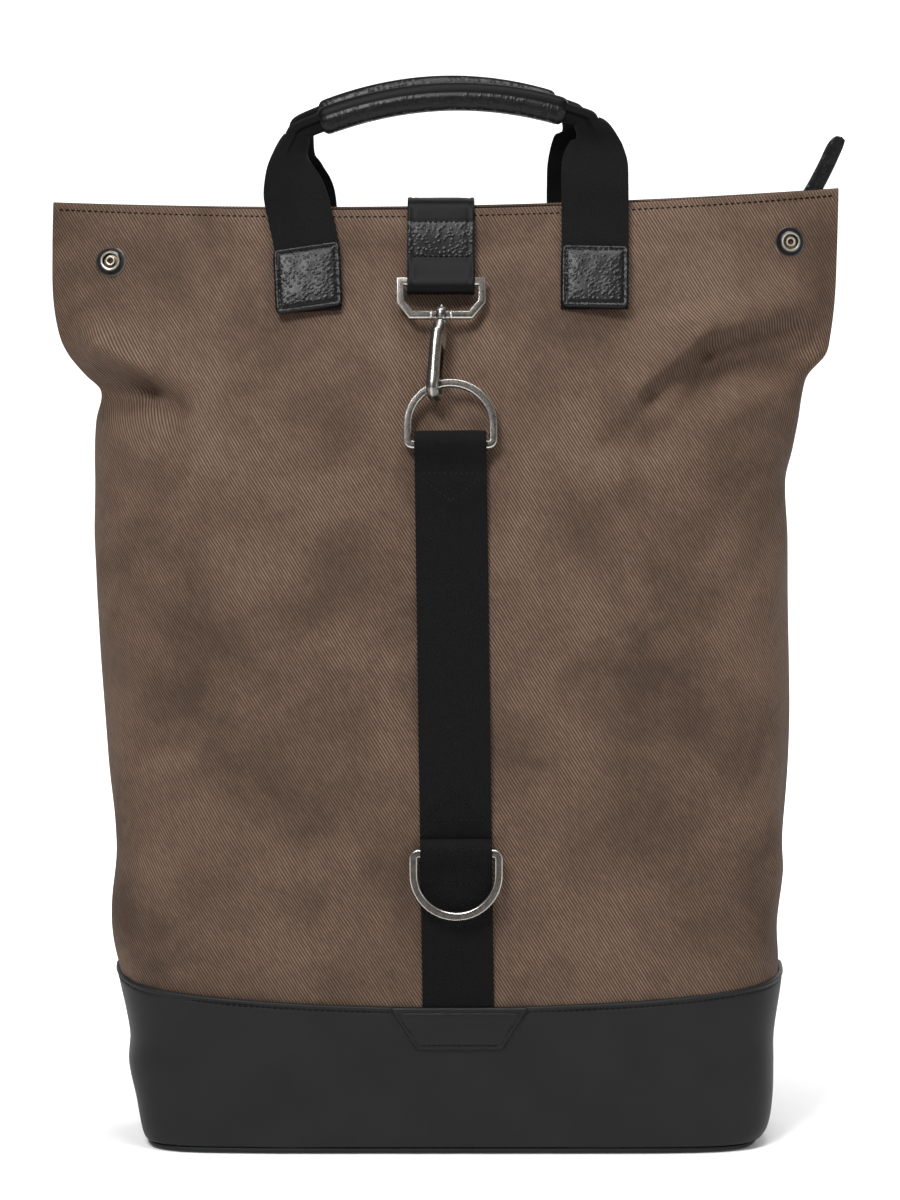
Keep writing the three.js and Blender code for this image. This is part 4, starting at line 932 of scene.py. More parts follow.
    def seat(
        self, side: Side, x: np.ndarray, z: np.ndarray, half: float, folds: Sequence[Fold]
    ) -> np.ndarray:
        """Greatest depth under a strap of the given half width, evened along its length."""
        spread = np.linspace(-half, half, 9)
        deep = self.depth_at(side, x[:, None] + spread[None, :], z[:, None], folds).max(axis=1)
        kernel = np.hanning(7)[1:-1]
        padded = np.pad(deep, 2, mode="edge")
        return np.maximum(np.convolve(padded, kernel / kernel.sum(), mode="valid"), deep)


FORM = BagForm()


@dataclass
class Body:
    """Canvas panels and leather base with their hems and seams."""

    finishes: Wardrobe
    columns: int = 200
    rows: int = 210
    hem: float = 2.6
    seam_line: float = 2.8
    piping: float = 3.0
    foot_turn: float = 1.6
    roll: float = 0.9

    def canvas_relief(self, side: Side) -> Callable[[np.ndarray, np.ndarray], np.ndarray]:
        """Small unevenness of the canvas.

        A soft swell all over, short puckers that fade above the leather and below the
        hem, and the raised turned hem with its sewn groove.
        """
        seed = 11 if side is Side.FRONT else 23

        def relief(u: np.ndarray, v: np.ndarray) -> np.ndarray:
            across = np.clip(u / 205, -1, 1)
            top = FORM.mouth_height(side, across) - v
            low = v - FORM.seam_height(across)
            swell = 1.15 * ripple(u, v, 95, seed) + 0.32 * ripple(u, v, 36, seed + 1)
            if side is Side.FRONT:
                swell = swell + FORM.fold_height(CREASES, u, v)
            pucker = 0.34 * ripple(u, v * 0.2, 11, seed + 2, 5)
            pucker = pucker * (np.exp(-((low / 9) ** 2)) + 0.8 * np.exp(-((top / 7) ** 2)))
            turned = 0.35 * smoothstep(17.5, 15.5, top)
            groove = -0.38 * np.exp(-(((top - self.hem) / 0.8) ** 2))
            return (swell + pucker) * smoothstep(-4, 16, top) + turned + groove

        return relief

    def canvas(self, side: Side) -> bpy.types.Object:
        """One canvas panel as a wall with a rounded upper edge and the lining inside it."""
        name = side.name.lower()
        across = np.linspace(-1, 1, self.columns + 1)[None, :]
        lowest = FORM.seam_height(across) - FORM.seam_lap
        highest = FORM.mouth_height(side, across)
        share = np.linspace(0, 1, self.rows + 1)[:, None]
        z = lowest + (highest - lowest) * share
        folds = FRONT_FOLDS if side is Side.FRONT else BACK_FOLDS
        relief = self.canvas_relief(side)
        outer, flat = FORM.panel(side, across, z, 0.0, folds, relief)
        inner, _ = FORM.panel(side, across, z, -FORM.wall, folds, relief)
        for grid in (outer, inner):
            grid[:, [0, -1], 1] = np.where(grid is inner, side.value * FORM.gap / 2, grid[:, [0, -1], 1])
        turn = np.linspace(0, np.pi, 6)[:, None, None]
        middle = (outer[-1] + inner[-1]) / 2
        half = (outer[-1] - inner[-1]) / 2
        lift = np.zeros_like(middle)
        lift[:, 2] = FORM.wall / 2
        rim = middle[None] + half[None] * np.cos(turn) + lift[None] * np.sin(turn)
        rim_flat = np.repeat(flat[-1:], 6, axis=0)
        rim_flat[..., 1] += np.linspace(0, 3, 6)[:, None]
        skin, back = Surface(outer, flat), Surface(inner, flat)
        surfaces = [
            skin,
            Surface(rim, rim_flat),
            Surface(inner[::-1], flat[::-1], face=Face.INSIDE),
            edge_strip(back, skin, row=0),
            edge_strip(skin, back, column=0),
            edge_strip(back, skin, column=-1),
        ]
        return piece_from(
            f"{name}_canvas",
            surfaces,
            [self.finishes.canvas, self.finishes.lining],
            replaces=[f"{name}_canvas_panel"],
            sharp=70.0,
        )

    def base_offset(self, z: np.ndarray, top: np.ndarray) -> np.ndarray:
        """Distance of the leather's face from the canvas's.

        The wall's thickness, less the half circle of the piping at the foot and the
        quarter circle above it, less the roll at the cut edge, with its seam's groove.
        """
        piping = self.piping / 2
        bead = np.sqrt(np.maximum(1 - ((z - piping) / piping) ** 2, 0))
        low = np.clip(self.foot_turn - (z - self.piping), 0, self.foot_turn)
        turn = self.foot_turn - np.sqrt(np.maximum(self.foot_turn**2 - low**2, 0))
        under = np.where(z < self.piping, 0.4 + 1.8 * (1 - bead), turn)
        edge = np.clip(self.roll - (top - z), 0, self.roll)
        rolled = self.roll - np.sqrt(np.maximum(self.roll**2 - edge**2, 0))
        groove = 0.45 * np.exp(-(((top - z - self.seam_line) / 0.75) ** 2))
        lip = 0.35 * np.exp(-(((top - z - 1.2) / 0.9) ** 2))
        return FORM.gap + FORM.leather_wall - under - rolled - groove + lip

    def leather(self, side: Side) -> bpy.types.Object:
        """One leather panel from the rolled upper edge to where it turns under the bottom."""
        name = side.name.lower()
        across = np.linspace(-1, 1, self.columns + 1)[None, :]
        top = FORM.seam_height(across) + 0 * across
        share = np.concatenate(
            [np.linspace(0, 0.09, 26)[:-1], np.linspace(0.09, 0.94, 54)[:-1], np.linspace(0.94, 1, 14)]
        )[:, None]
        z = top * share

        def relief(u: np.ndarray, v: np.ndarray) -> np.ndarray:
            near = FORM.seam_height(np.clip(u / 180, -1, 1)) - v
            swell = 0.35 * ripple(u, v, 80, 41)
            pucker = 0.14 * ripple(u, v * 0.2, 12, 42) * np.exp(-((near / 7) ** 2))
            return swell * smoothstep(2, 14, v) + pucker

        outer, flat = FORM.panel(side, across, z, self.base_offset(z, top), BASE_FOLDS, relief)
        inner, _ = FORM.panel(side, across, np.maximum(z, 2.0), FORM.gap, BASE_FOLDS, relief)
        inner[0] = outer[0]
        inner[0, :, 2] = 0.0
        for grid in (outer, inner):
            grid[:, [0, -1], 1] = side.value * FORM.gap / 2
        skin, back = Surface(outer, flat), Surface(inner, flat)
        surfaces = [
            skin,
            edge_strip(skin, back, row=-1),
            Surface(inner[::-1], flat[::-1], face=Face.INSIDE),
            edge_strip(skin, back, column=0),
            edge_strip(back, skin, column=-1),
        ]
        return piece_from(
            f"{name}_leather_base",
            surfaces,
            [self.finishes.base, self.finishes.lining],
            replaces=[f"leather_{name}_panel"],
            sharp=70.0,
        )

    def bottom(self) -> bpy.types.Object:
        """Flat bottom inside the turned foot of both leather panels, with a rounded rim."""
        rings = []
        inset = FORM.gap + FORM.leather_wall - 2.2
        for side, way in ((Side.FRONT, 1.0), (Side.BACK, -1.0)):
            across = np.linspace(-way, way, 101)[:-1]
            points, _ = FORM.panel(side, across, np.zeros_like(across), inset, ())
            rings.append(points)
        rim = np.concatenate(rings)
        centre = rim.mean(axis=0)
        profile = [(0.0, 0.0), (0.5, 0.0), (0.97, 0.0), (1.0, 0.12), (1.0, 2.3), (0.97, 2.5),
                   (0.5, 2.5), (0.0, 2.5)]
        rows = []
        for share, z in profile:
            ring = centre + (rim - centre) * share
            ring[:, 2] = z
            rows.append(ring)
        points = np.stack(rows)
        return piece_from(
            "leather_bottom",
            [Surface(points, points[..., :2].copy(), closed=True)],
            [self.finishes.base],
            replaces=["bottom_panel"],
        )

    def seam_rows(self, side: Side) -> list[tuple[np.ndarray, np.ndarray]]:
        """Path and outward directions of the hem's stitch row and of the leather's."""
        across = np.linspace(-0.985, 0.985, 400)[None, :]
        folds = FRONT_FOLDS if side is Side.FRONT else BACK_FOLDS
        hem_z = FORM.mouth_height(side, across) - self.hem
        seam_z = FORM.seam_height(across) - self.seam_line
        canvas, relief = [], self.canvas_relief(side)
        for z, offset, creases, extra in (
            (hem_z, 0.05, folds, relief),
            (seam_z, FORM.gap + FORM.leather_wall - 0.4, BASE_FOLDS, None),
        ):
            path, _ = FORM.panel(side, across, z, offset, creases, extra)
            out, _ = FORM.panel(side, across, z, offset + 1.0, creases, extra)
            canvas.append((path[0], unit(out[0] - path[0])))
        return canvas

    def build(self) -> None:
        """Builds both panels of both materials, the bottom and the stitch rows."""
        for side in Side:
            self.canvas(side)
            self.leather(side)
        self.bottom()
        rows = [self.seam_rows(side) for side in Side]
        stitches("hem_stitches", [r[0] for r in rows], self.finishes.seam_thread, radius=0.55)
        stitches("base_seam_stitches", [r[1] for r in rows], self.finishes.thread)


# Front strap and closure


@dataclass
class FrontStrap:
    """Centre webbing with its two loops, and the leather closure strap over the mouth."""

    finishes: Wardrobe
    width: float = 35.0
    thick: float = 2.0
    drift: float = 0.014
    upper_x: float = 2.2
    upper_bar: tuple[float, float] = (-56.341, 350.345)
    lower_bar: tuple[float, float] = (-65.299, 152.0)
    end_height: float = 75.0
    fold: float = 28.0
    bar_swing: float = 2.911
    slack: float = 2.4
    closure_width: float = 33.0
    closure_x: float = -2.4
    closure_bar: tuple[float, float] = (-31.567, 429.0)
    tail: float = 45.0

    def centre(self, z: np.ndarray) -> np.ndarray:
        """Middle of the strap at each height, which drifts to one side on its way down."""
        return self.upper_x + self.drift * (self.upper_bar[1] - z)

    def looped(self, bar: tuple[float, float], low: float, width: float, turn: int) -> np.ndarray:
        """Centre line of a strap that goes round a bar, from its short end behind.

        The short ply lies on the panel, the loop is half a circle round the bar, and the
        long ply lies on the short one and then settles on the panel.

        Args:
            bar: y and z of the bar.
            low: height where the long ply ends.
            width: width of the strap.
            turn: 1 where the loop is at the top and -1 where it is at the bottom.

        Returns:
            Points of the centre line.
        """
        half = self.thick / 2
        radius = self.bar_swing + half
        start = bar[1] - turn * self.fold
        settle = bar[1] - turn * 7
        short = np.arange(start, settle, turn * 1.5)
        long = np.arange(settle, low, -turn * 2.0)
        long = np.append(long, low)
        x_at = self.centre if turn > 0 else (lambda z: np.full_like(z, self.closure_x))
        seats = [FORM.seat(Side.FRONT, x_at(z), z, width / 2, FRONT_FOLDS) for z in (short, long)]
        behind = -(seats[0] + FORM.gap + half)
        plies = np.where(turn * (long - start) > 0, 3.0, 1.0)
        plies = np.convolve(np.pad(plies, 3, mode="edge"), np.ones(7) / 7, mode="valid")
        before = -(seats[1] + FORM.gap + half * plies)
        angle = np.linspace(0, np.pi, 19)
        cap_y = bar[0] + radius * np.cos(angle)
        cap_z = bar[1] + turn * (radius + self.slack) * np.sin(angle)
        y = np.concatenate([behind, cap_y, before])
        z = np.concatenate([short, cap_z, long])
        path = np.stack([x_at(z), y, z], axis=1)
        for _ in range(3):
            path[1:-1] = (path[:-2] + 2 * path[1:-1] + path[2:]) / 4
        return even_path(path, 1.2)

    def strap(self, name: str, bar: tuple[float, float], low: float, node: str) -> np.ndarray:
        """One webbing strap with a loop round its bar."""
        path = self.looped(bar, low, self.width, 1)

        def relief(place: np.ndarray, along: np.ndarray) -> np.ndarray:
            near = np.abs(np.abs(place) - 15.6)
            return 0.10 * ripple(place, along, 26, 61) - 0.12 * np.exp(-((near / 0.5) ** 2))

        piece_from(
            name,
            [level_band(path, self.width, self.thick * 0.92, 9.0, 56, relief)],
            [self.finishes.webbing],
            replaces=[node],
        )
        return path

    def closure(self) -> None:
        """Leather strap over the mouth: pebbled where it lies flat and smooth at the folds."""
        down = self.looped(self.closure_bar, 464.0, self.closure_width, -1)
        down[:, 0] = self.closure_x
        keep = down[down[:, 2] < 463.0]
        front_y = keep[-1, 1]
        back_z = np.linspace(468.0, 468.0 - self.tail, 24)
        back_y = FORM.seat(Side.BACK, np.full_like(back_z, self.closure_x), back_z, 16.5, BACK_FOLDS)
        back_y = back_y + FORM.gap + self.thick / 2
        rise = np.linspace(0, 1, 26)[1:-1]
        over_y = front_y + (back_y[0] - front_y) * rise
        over_z = 463.0 + 6.3 * np.minimum(1, 1.06 * np.sin(np.pi * rise) ** 0.35)
        over = np.stack([np.full_like(rise, self.closure_x), over_y, over_z], axis=1)
        tail = np.stack([np.full_like(back_z, self.closure_x), back_y, back_z - 2], axis=1)
        path = even_path(np.concatenate([keep, over, tail]), 1.1)
        for _ in range(6):
            path[1:-1] = (path[:-2] + 2 * path[1:-1] + path[2:]) / 4
        reach = lengths(path)
        marks = [reach[np.argmin(np.abs(path[:, 2] - z) + 50 * (path[:, 1] > -20))] for z in (441.5, 462.0)]

        def relief(place: np.ndarray, along: np.ndarray) -> np.ndarray:
            grooves = sum(np.exp(-(((along - mark) / 0.6) ** 2)) for mark in marks)
            rim = np.abs(place) - self.closure_width / 2
            side = np.exp(-(((rim + 2.3) / 0.5) ** 2))
            bump = 0.25 * smoothstep(-2.3, -1.6, rim)
            return 0.12 * ripple(place, along, 18, 71) - 0.3 * grooves - 0.25 * side + bump

        split = int(np.argmin(np.abs(reach - marks[0])))
        stop = int(np.argmin(np.abs(reach - marks[1])))
        whole = level_band(path, self.closure_width, 1.9, 7.0, 48, relief)
        parts = []
        for low, high, face in ((0, split + 2, Face.OUTSIDE), (split + 2, stop + 2, Face.INSIDE),
                                (stop + 2, len(path) + 3, Face.OUTSIDE)):
            rows = slice(low, high + 1)
            parts.append(Surface(whole.points[rows], whole.flat[rows], closed=True, face=face))
        piece_from(
            "closure_strap_leather",
            parts,
            [self.finishes.smooth, self.finishes.pebbled],
            replaces=["closure_strap"],
        )
        rows = []
        span = np.linspace(-14.2, 14.2, 12)
        for mark in marks:
            at = path[int(np.argmin(np.abs(reach - mark)))]
            outward = np.array([0.0, -0.95, 0.3])
            line = np.stack([self.closure_x + span, np.full(12, at[1]), np.full(12, at[2])], axis=1)
            rows.append((line + unit(outward) * 0.95, np.tile(outward, (12, 1))))
        stitches("closure_strap_stitches", rows, self.finishes.thread, 2.6)

    def box_rows(self, path: np.ndarray, top: float, peak: float, level: float) -> list:
        """Stitch rows of one sewn loop: a level row, and a wide V below or above it."""
        front = path[int(np.argmin(path[:, 1])) :]
        rows = []
        half = self.width / 2 - 3.2
        for x0, z0, x1, z1 in (
            (-half, level, half, level),
            (-half, top, 0, peak),
            (0, peak, half, top),
            (-half, top, -half, level),
            (half, top, half, level),
        ):
            share = np.linspace(0, 1, 14)
            z = z0 + (z1 - z0) * share
            order = np.argsort(front[:, 2])
            y = np.interp(z, front[order, 2], front[order, 1])
            line = np.stack([self.centre(z) + x0 + (x1 - x0) * share, y - self.thick / 2 - 0.02, z], axis=1)
            rows.append((line, np.tile([0.0, -1.0, 0.0], (14, 1))))
        return rows

    def build(self) -> None:
        """Builds both straps, their sewn boxes and the closure strap."""
        top = self.lower_bar[1] + self.bar_swing + self.thick + FORM.gap
        upper = self.strap("upper_strap_webbing", self.upper_bar, top, "upper_strap")
        lower = self.strap("lower_strap_webbing", self.lower_bar, self.end_height, "lower_strap")
        self.closure()
        rows = [
            *self.box_rows(upper, 334.5, 323.5, 337.0),
            *self.box_rows(upper, 170.0, 181.0, 168.0),
            *self.box_rows(lower, 134.5, 123.5, 137.0),
        ]
        stitches("strap_box_stitches", rows, self.finishes.thread, 2.7, radius=0.4)


# Metalwork


@dataclass(frozen=True)
class Seating:
    """Place of a hanging piece: its origin, and its turns about X, then Y, then Z."""

    origin: tuple[float, float, float]
    turns: tuple[float, float, float] = (0.0, 0.0, 0.0)

    def matrix(self) -> np.ndarray:
        """Rotation by the three turns, with X outermost."""
        ax, ay, az = (math.radians(turn) for turn in self.turns)
        cx, sx, cy, sy, cz, sz = (
            math.cos(ax), math.sin(ax), math.cos(ay), math.sin(ay), math.cos(az), math.sin(az)
        )
        about_x = np.array([[1, 0, 0], [0, cx, -sx], [0, sx, cx]])
        about_y = np.array([[cy, 0, sy], [0, 1, 0], [-sy, 0, cy]])
        about_z = np.array([[cz, -sz, 0], [sz, cz, 0], [0, 0, 1]])
        return about_x @ about_y @ about_z

    def put(self, points: np.ndarray) -> np.ndarray:
        """Points of the piece's own frame moved to the bag's."""
        return points @ self.matrix().T + np.array(self.origin)


def wire_loop(line: np.ndarray, stock: float, thick: float, bevel: float) -> Surface:
    """Flat bar carried round a closed line in its plane, with bevelled edges.

    Each corner of the section is moved along the mitre of the line's two neighbouring
    sides, so that sharp corners keep the bar's full width.

    Args:
        line: closed line of x and z, without its first point again.
        stock: width of the bar in the plane.
        thick: thickness of the bar through the plane.
        bevel: size of the bevel.

    Returns:
        Surface with the worn edges in the second flat coordinate.
    """
    before = unit(line - np.roll(line, 1, axis=0))
    after = np.roll(before, -1, axis=0)
    n1 = np.stack([before[:, 1], -before[:, 0]], axis=1)
    n2 = np.stack([after[:, 1], -after[:, 0]], axis=1)
    mitre = (n1 + n2) / (1 + np.einsum("ij,ij->i", n1, n2))[:, None]
    a, b = stock / 2, thick / 2
    soft = bevel * 0.3
    corner = [(a - bevel - soft, b, 0.0), (a - bevel, b - soft * 0.15, 0.55), (a - bevel / 2,
                                                                               b - bevel / 2, 1.0),
              (a - soft * 0.15, b - bevel, 0.55), (a, b - bevel - soft, 0.0)]
    section = []
    for su, sv, flip in ((1, 1, False), (1, -1, True), (-1, -1, False), (-1, 1, True)):
        run = [(su * u, sv * v, w) for u, v, w in corner]
        section.extend(run[::-1] if flip else run)
    table = np.array(section)
    points = np.zeros((len(line), len(table), 3))
    points[..., [0, 2]] = line[:, None, :] + mitre[:, None, :] * table[None, :, :1]
    points[..., 1] = table[None, :, 1]
    flat = np.zeros((len(line), len(table), 2))
    flat[..., 1] = table[None, :, 2]
    return Surface(np.concatenate([points, points[:1]]), np.concatenate([flat, flat[:1]]), closed=True)


def turned(profile: np.ndarray, centre: tuple[float, float, float], axis: int, count: int = 40) -> Surface:
    """Profile of place along an axis, radius and wear, turned about that axis.

    Args:
        profile: rows of the place along the axis, the radius and the wear.
        centre: middle of the axis.
        axis: 0 for X and 2 for Z.
        count: points round the axis.

    Returns:
        The turned surface.
    """
    turn = 2 * np.pi * np.arange(count) / count
    ring = np.zeros((len(profile), count, 3))
    one, two = (1, 2) if axis == 0 else (0, 1)
    ring[..., axis] = profile[:, :1]
    ring[..., one] = profile[:, 1:2] * np.cos(turn)
    ring[..., two] = profile[:, 1:2] * np.sin(turn)
    flat = np.zeros((len(profile), count, 2))
    flat[..., 1] = profile[:, 2:3]
    return Surface(ring + np.array(centre), flat, closed=True)


@dataclass
class DRing:
    """Flat D-ring with bevelled edges: a bar, two legs and a half-round bow."""

    finishes: Wardrobe
    name: str
    node: str
    body: str
    seating: Seating
    bow_up: bool
    radius: float = 22.8
    stock: float = 4.0
    thick: float = 3.2
    height: float = 35.0
    corner: float = 2.6

    def centre_line(self) -> np.ndarray:
        """Middle of the stock in the ring's own plane: bow, and rounded lower corners."""
        mid = self.radius - self.stock / 2
        rise = self.height - self.radius - self.stock / 2
        bend = np.linspace(0, np.pi / 2, 9)
        turn = np.linspace(0, np.pi, 73)
        bow = np.stack([mid * np.cos(turn), rise + mid * np.sin(turn)], axis=1)
        cut = self.corner
        left = np.stack([-mid + cut - cut * np.cos(bend), cut - cut * np.sin(bend)], axis=1)
        right = np.stack([mid - cut + cut * np.sin(bend), cut - cut * np.cos(bend)], axis=1)
        return np.concatenate([bow, left, right])

    def build(self) -> None:
        """Carries the bar round its line and stands it in its place."""
        line = self.centre_line() * np.array([1.0, 1.0 if self.bow_up else -1.0])
        made = wire_loop(line, self.stock, self.thick, 0.6)
        made.points = self.seating.put(made.points)
        piece_from(
            self.name, [made], [self.finishes.nickel],
            body=self.body, replaces=[self.node], sharp=50.0,
        )


@dataclass
class SwivelHook:
    """Half-octagon loop with its swivel boss, and the snap hook that turns in it."""

    finishes: Wardrobe
    seating: Seating
    width: float = 43.8
    drop: float = 17.0
    stock: float = 4.0
    thick: float = 3.2
    chamfer: tuple[float, float] = (6.3, 7.6)
    hook_lean: float = 4.0
    hook_yaw: float = 15.0
    bow_radius: float = 5.1
    bow_drop: float = 36.5
    tip_rise: float = 5.0
    hook_width: float = 6.2

    def loop(self) -> None:
        """Loop with its six corners, the boss on its lower bar and a collar on each side."""
        half, low = self.width / 2 - self.stock / 2, -self.drop
        slant = self.stock / 2 * math.tan(math.radians(22.5))
        across, up = self.chamfer
        outline = np.array(
            [[half, 0.0], [half, low + up - slant], [half - across + slant, low],
             [-half + across - slant, low], [-half, low + up - slant], [-half, 0.0]]
        )
        made = wire_loop(outline[::-1], self.stock, self.thick, 0.6)
        boss = turned(
            np.array([(-2.6, 0.0, 0), (-2.6, 2.2, 0.3), (-2.35, 2.75, 1), (-1.7, 2.9, 0.2), (0.0, 3.05, 0),
                      (1.7, 2.9, 0.2), (2.35, 2.75, 1), (2.6, 2.2, 0.3), (2.6, 0.0, 0)]),
            (0.0, 0.0, low), 2,
        )
        collars = [
            turned(
                np.array([(-0.8, 0.0, 0), (-0.8, 2.0, 0.2), (-0.45, 2.45, 1), (0.0, 2.6, 1),
                          (0.45, 2.45, 1), (0.8, 2.0, 0.2), (0.8, 0.0, 0)]),
                (place, 0.0, low), 0, 28,
            )
            for place in (-4.9, 4.9)
        ]
        surfaces = [made, boss, *collars]
        for surface in surfaces:
            surface.points = self.seating.put(surface.points)
        piece_from(
            "swivel", surfaces, [self.finishes.nickel],
            replaces=["swivel_loop"], sharp=30.0,
        )

    def bar(self, rows: np.ndarray, count: int) -> Surface:
        """Cast bar in the hook's plane from rows of depth, height, width and thickness.

        The front has two facets that meet in a worn ridge, so the height is raised by
        0.9 mm times one minus the share of the half width.
        """
        made = smooth_rows(rows, count)
        path = np.stack([0 * made[:, 0], made[:, 0], made[:, 1]], axis=1)
        across = np.tile([1.0, 0.0, 0.0], (count, 1))
        half = made[:, 2:3] / 2

        def relief(place: np.ndarray, reach: np.ndarray) -> np.ndarray:
            return 0.9 * (1 - np.abs(place) / half)

        surface = band(path, across, made[:, 2], made[:, 3], np.full(count, 3.4), 28, relief)
        share = np.abs(surface.flat[..., 0]) / (self.hook_width / 2)
        surface.flat[..., 1] = np.where(share < 0.12, 0.8, np.where(share > 0.9, 1.0, 0.12))
        return surface

    def hook(self) -> None:
        """Riveted shaft, shoulder, gate housing, spine, bow and tip."""
        place = self.seating.matrix() @ np.array([0.0, 0.0, -self.drop]) + np.array(self.seating.origin)
        lean = self.seating.turns[0]
        seating = Seating(tuple(place), (lean, self.hook_lean, -self.hook_yaw))
        head = turned(
            np.array([(2.95, 0.0, 0), (2.95, 2.3, 0.4), (3.35, 2.4, 1), (3.7, 2.0, 0.4), (3.8, 1.4, 0),
                      (4.6, 1.35, 0.2), (5.0, 1.0, 1), (5.15, 0.0, 1)]),
            (0.0, 0.0, 0.0), 2,
        )
        shoulder = turned(
            np.array([(-2.95, 0.0, 0), (-2.95, 2.2, 0.3), (-3.3, 3.1, 1), (-4.3, 3.5, 0.5), (-5.5, 3.3,
                                                                                             0.1),
                      (-6.4, 2.4, 0), (-7.0, 0.0, 0)]),
            (0.0, 0.0, 0.0), 2,
        )
        housing = self.bar(
            np.array([(-0.2, -4.0, 5.6, 5.4), (-0.6, -6.5, 6.2, 7.0), (-1.1, -10.0, 6.3, 9.6),
                      (-1.4, -13.0, 6.3, 11.0), (-1.4, -16.0, 6.2, 10.8), (-1.6, -17.0, 5.2, 9.0)]),
            40,
        )
        bend = np.linspace(np.pi, 2 * np.pi, 9)
        bow = [(-1 + self.bow_radius * math.cos(a), -self.bow_drop + self.bow_radius * math.sin(a), 6.0,
                2.8)
               for a in bend]
        spine = [(-4.9, -9.0, 5.6, 3.0), (-5.6, -14.0, 5.9, 3.2), (-6.0, -19.0, 5.9, 3.0), (-6.1, -24.0,
                                                                                            5.8, 2.8),
                 (-6.1, -29.0, 5.9, 2.8), (-6.1, -33.0, 6.3, 2.8)]
        tip = [(4.1, -34.0, 5.6, 2.8), (4.1, -self.bow_drop + self.tip_rise, 4.6, 2.6)]
        blade = self.bar(np.array([*spine, *bow, *tip]), 120)
        surfaces = [head, shoulder, housing, blade]
        for surface in surfaces:
            surface.points = seating.put(surface.points)
        piece_from(
            "cast_hook", surfaces, [self.finishes.nickel],
            replaces=["snap_hook"], sharp=40.0,
        )

    def build(self) -> None:
        """Builds the loop and the hook."""
        self.loop()
        self.hook()


@dataclass
class PressSnap:
    """Press snap: a washer, a raised ring with a rolled rim, and the inner socket."""

    finishes: Wardrobe
    name: str
    node: str
    place: tuple[float, float]
    radius: float = 7.6
    height: float = 2.4

    def build(self) -> None:
        """Turns the profile of radius, height and wear about the face's normal."""
        profile = np.array(
            [(0.17, 0.02, 0), (0.17, 0.5, 0), (0.20, 0.74, 0.4), (0.25, 0.80, 1), (0.31, 0.76, 0.5),
             (0.34, 0.6, 0), (0.35, 0.36, 0), (0.44, 0.32, 0), (0.46, 0.62, 0), (0.49, 0.9, 0.15),
             (0.55, 1.0, 0.95), (0.62, 0.98, 0.3), (0.67, 0.84, 0.1), (0.69, 0.46, 0), (0.72, 0.38, 0),
             (0.86, 0.38, 0), (0.96, 0.33, 0.1), (1.0, 0.2, 0.3), (1.0, 0.0, 0), (0.17, 0.0, 0)]
        )
        x, z = self.place
        step = 6.0
        sample = FORM.depth_at(
            Side.FRONT, np.array([x - step, x + step, x, x]), np.array([z, z, z - step, z + step]),
            FRONT_FOLDS
        )
        slope_x = (sample[1] - sample[0]) / (2 * step)
        slope_z = (sample[3] - sample[2]) / (2 * step)
        normal = unit(np.array([-slope_x, -1.0, -slope_z]))
        seat = float(FORM.depth_at(Side.FRONT, np.array([x]), np.array([z]), FRONT_FOLDS)[0])
        origin = np.array([x, -seat, z]) + normal * 0.45
        first = unit(np.cross(normal, [0.0, 0.0, 1.0]))
        second = np.cross(normal, first)
        turn = np.linspace(0, 2 * np.pi, 73)[:-1]
        ring = first[None, :] * np.cos(turn)[:, None] + second[None, :] * np.sin(turn)[:, None]
        points = (
            origin + ring[None] * (profile[:, 0] * self.radius)[:, None, None]
            + normal * (profile[:, 1] * self.height)[:, None, None]
        )
        flat = np.stack(np.broadcast_arrays(turn[None, :] * 5, profile[:, 2:]), axis=-1)
        inner = 7
        parts = [
            Surface(points[: inner + 1], flat[: inner + 1], closed=True, face=Face.INSIDE),
            Surface(points[inner:], flat[inner:], closed=True),
        ]
        piece_from(
            self.name,
            parts,
            [self.finishes.gunmetal, self.finishes.brass],
            replaces=[self.node],
            sharp=35.0,
        )


@dataclass
class Metalwork:
    """Rings, press snaps and the metal nodes that keep their CAD shape."""

    finishes: Wardrobe

    def build(self, nodes: dict[str, bpy.types.Object]) -> None:
        """Builds the rings and snaps, and plates the remaining metal.

        Args:
            nodes: CAD nodes by name.
        """
        hanging = (-17.486, 0.0, 0.0)
        upper = Seating((2.2, -56.341, 350.345), hanging)
        lower = Seating((4.977, -65.299, 152.0))
        DRing(self.finishes, "upper_ring", "upper_d_ring", "bag", upper, True).build()
        DRing(self.finishes, "lower_ring", "lower_d_ring", "lower_d_ring", lower, False).build()
        SwivelHook(self.finishes, Seating((-2.4, -31.567, 429.0), hanging)).build()
        PressSnap(self.finishes, "left_snap", "left_press_snap", (-165.3, 438.7)).build()
        PressSnap(self.finishes, "right_snap", "right_press_snap", (169.8, 448.2)).build()
        for name in ("hook_gate", "zip_slider", "right_strap_adjuster", "left_strap_adjuster"):
            nodes[name].data.materials.clear()
            nodes[name].data.materials.append(self.finishes.nickel)
            LOG.info("%s: plated", name)


# Leather tiles: patches, label and anchors


def plane_place(
    middle: np.ndarray, wide: np.ndarray, up: np.ndarray, out: np.ndarray
) -> Callable[[np.ndarray, np.ndarray, np.ndarray], np.ndarray]:
    """Function from places on a plane and heights over it to points."""

    def place(u: np.ndarray, v: np.ndarray, level: np.ndarray) -> np.ndarray:
        parts = [np.asarray(k, float)[..., None] for k in (u, v, level)]
        return middle + parts[0] * wide + parts[1] * up + parts[2] * out

    return place


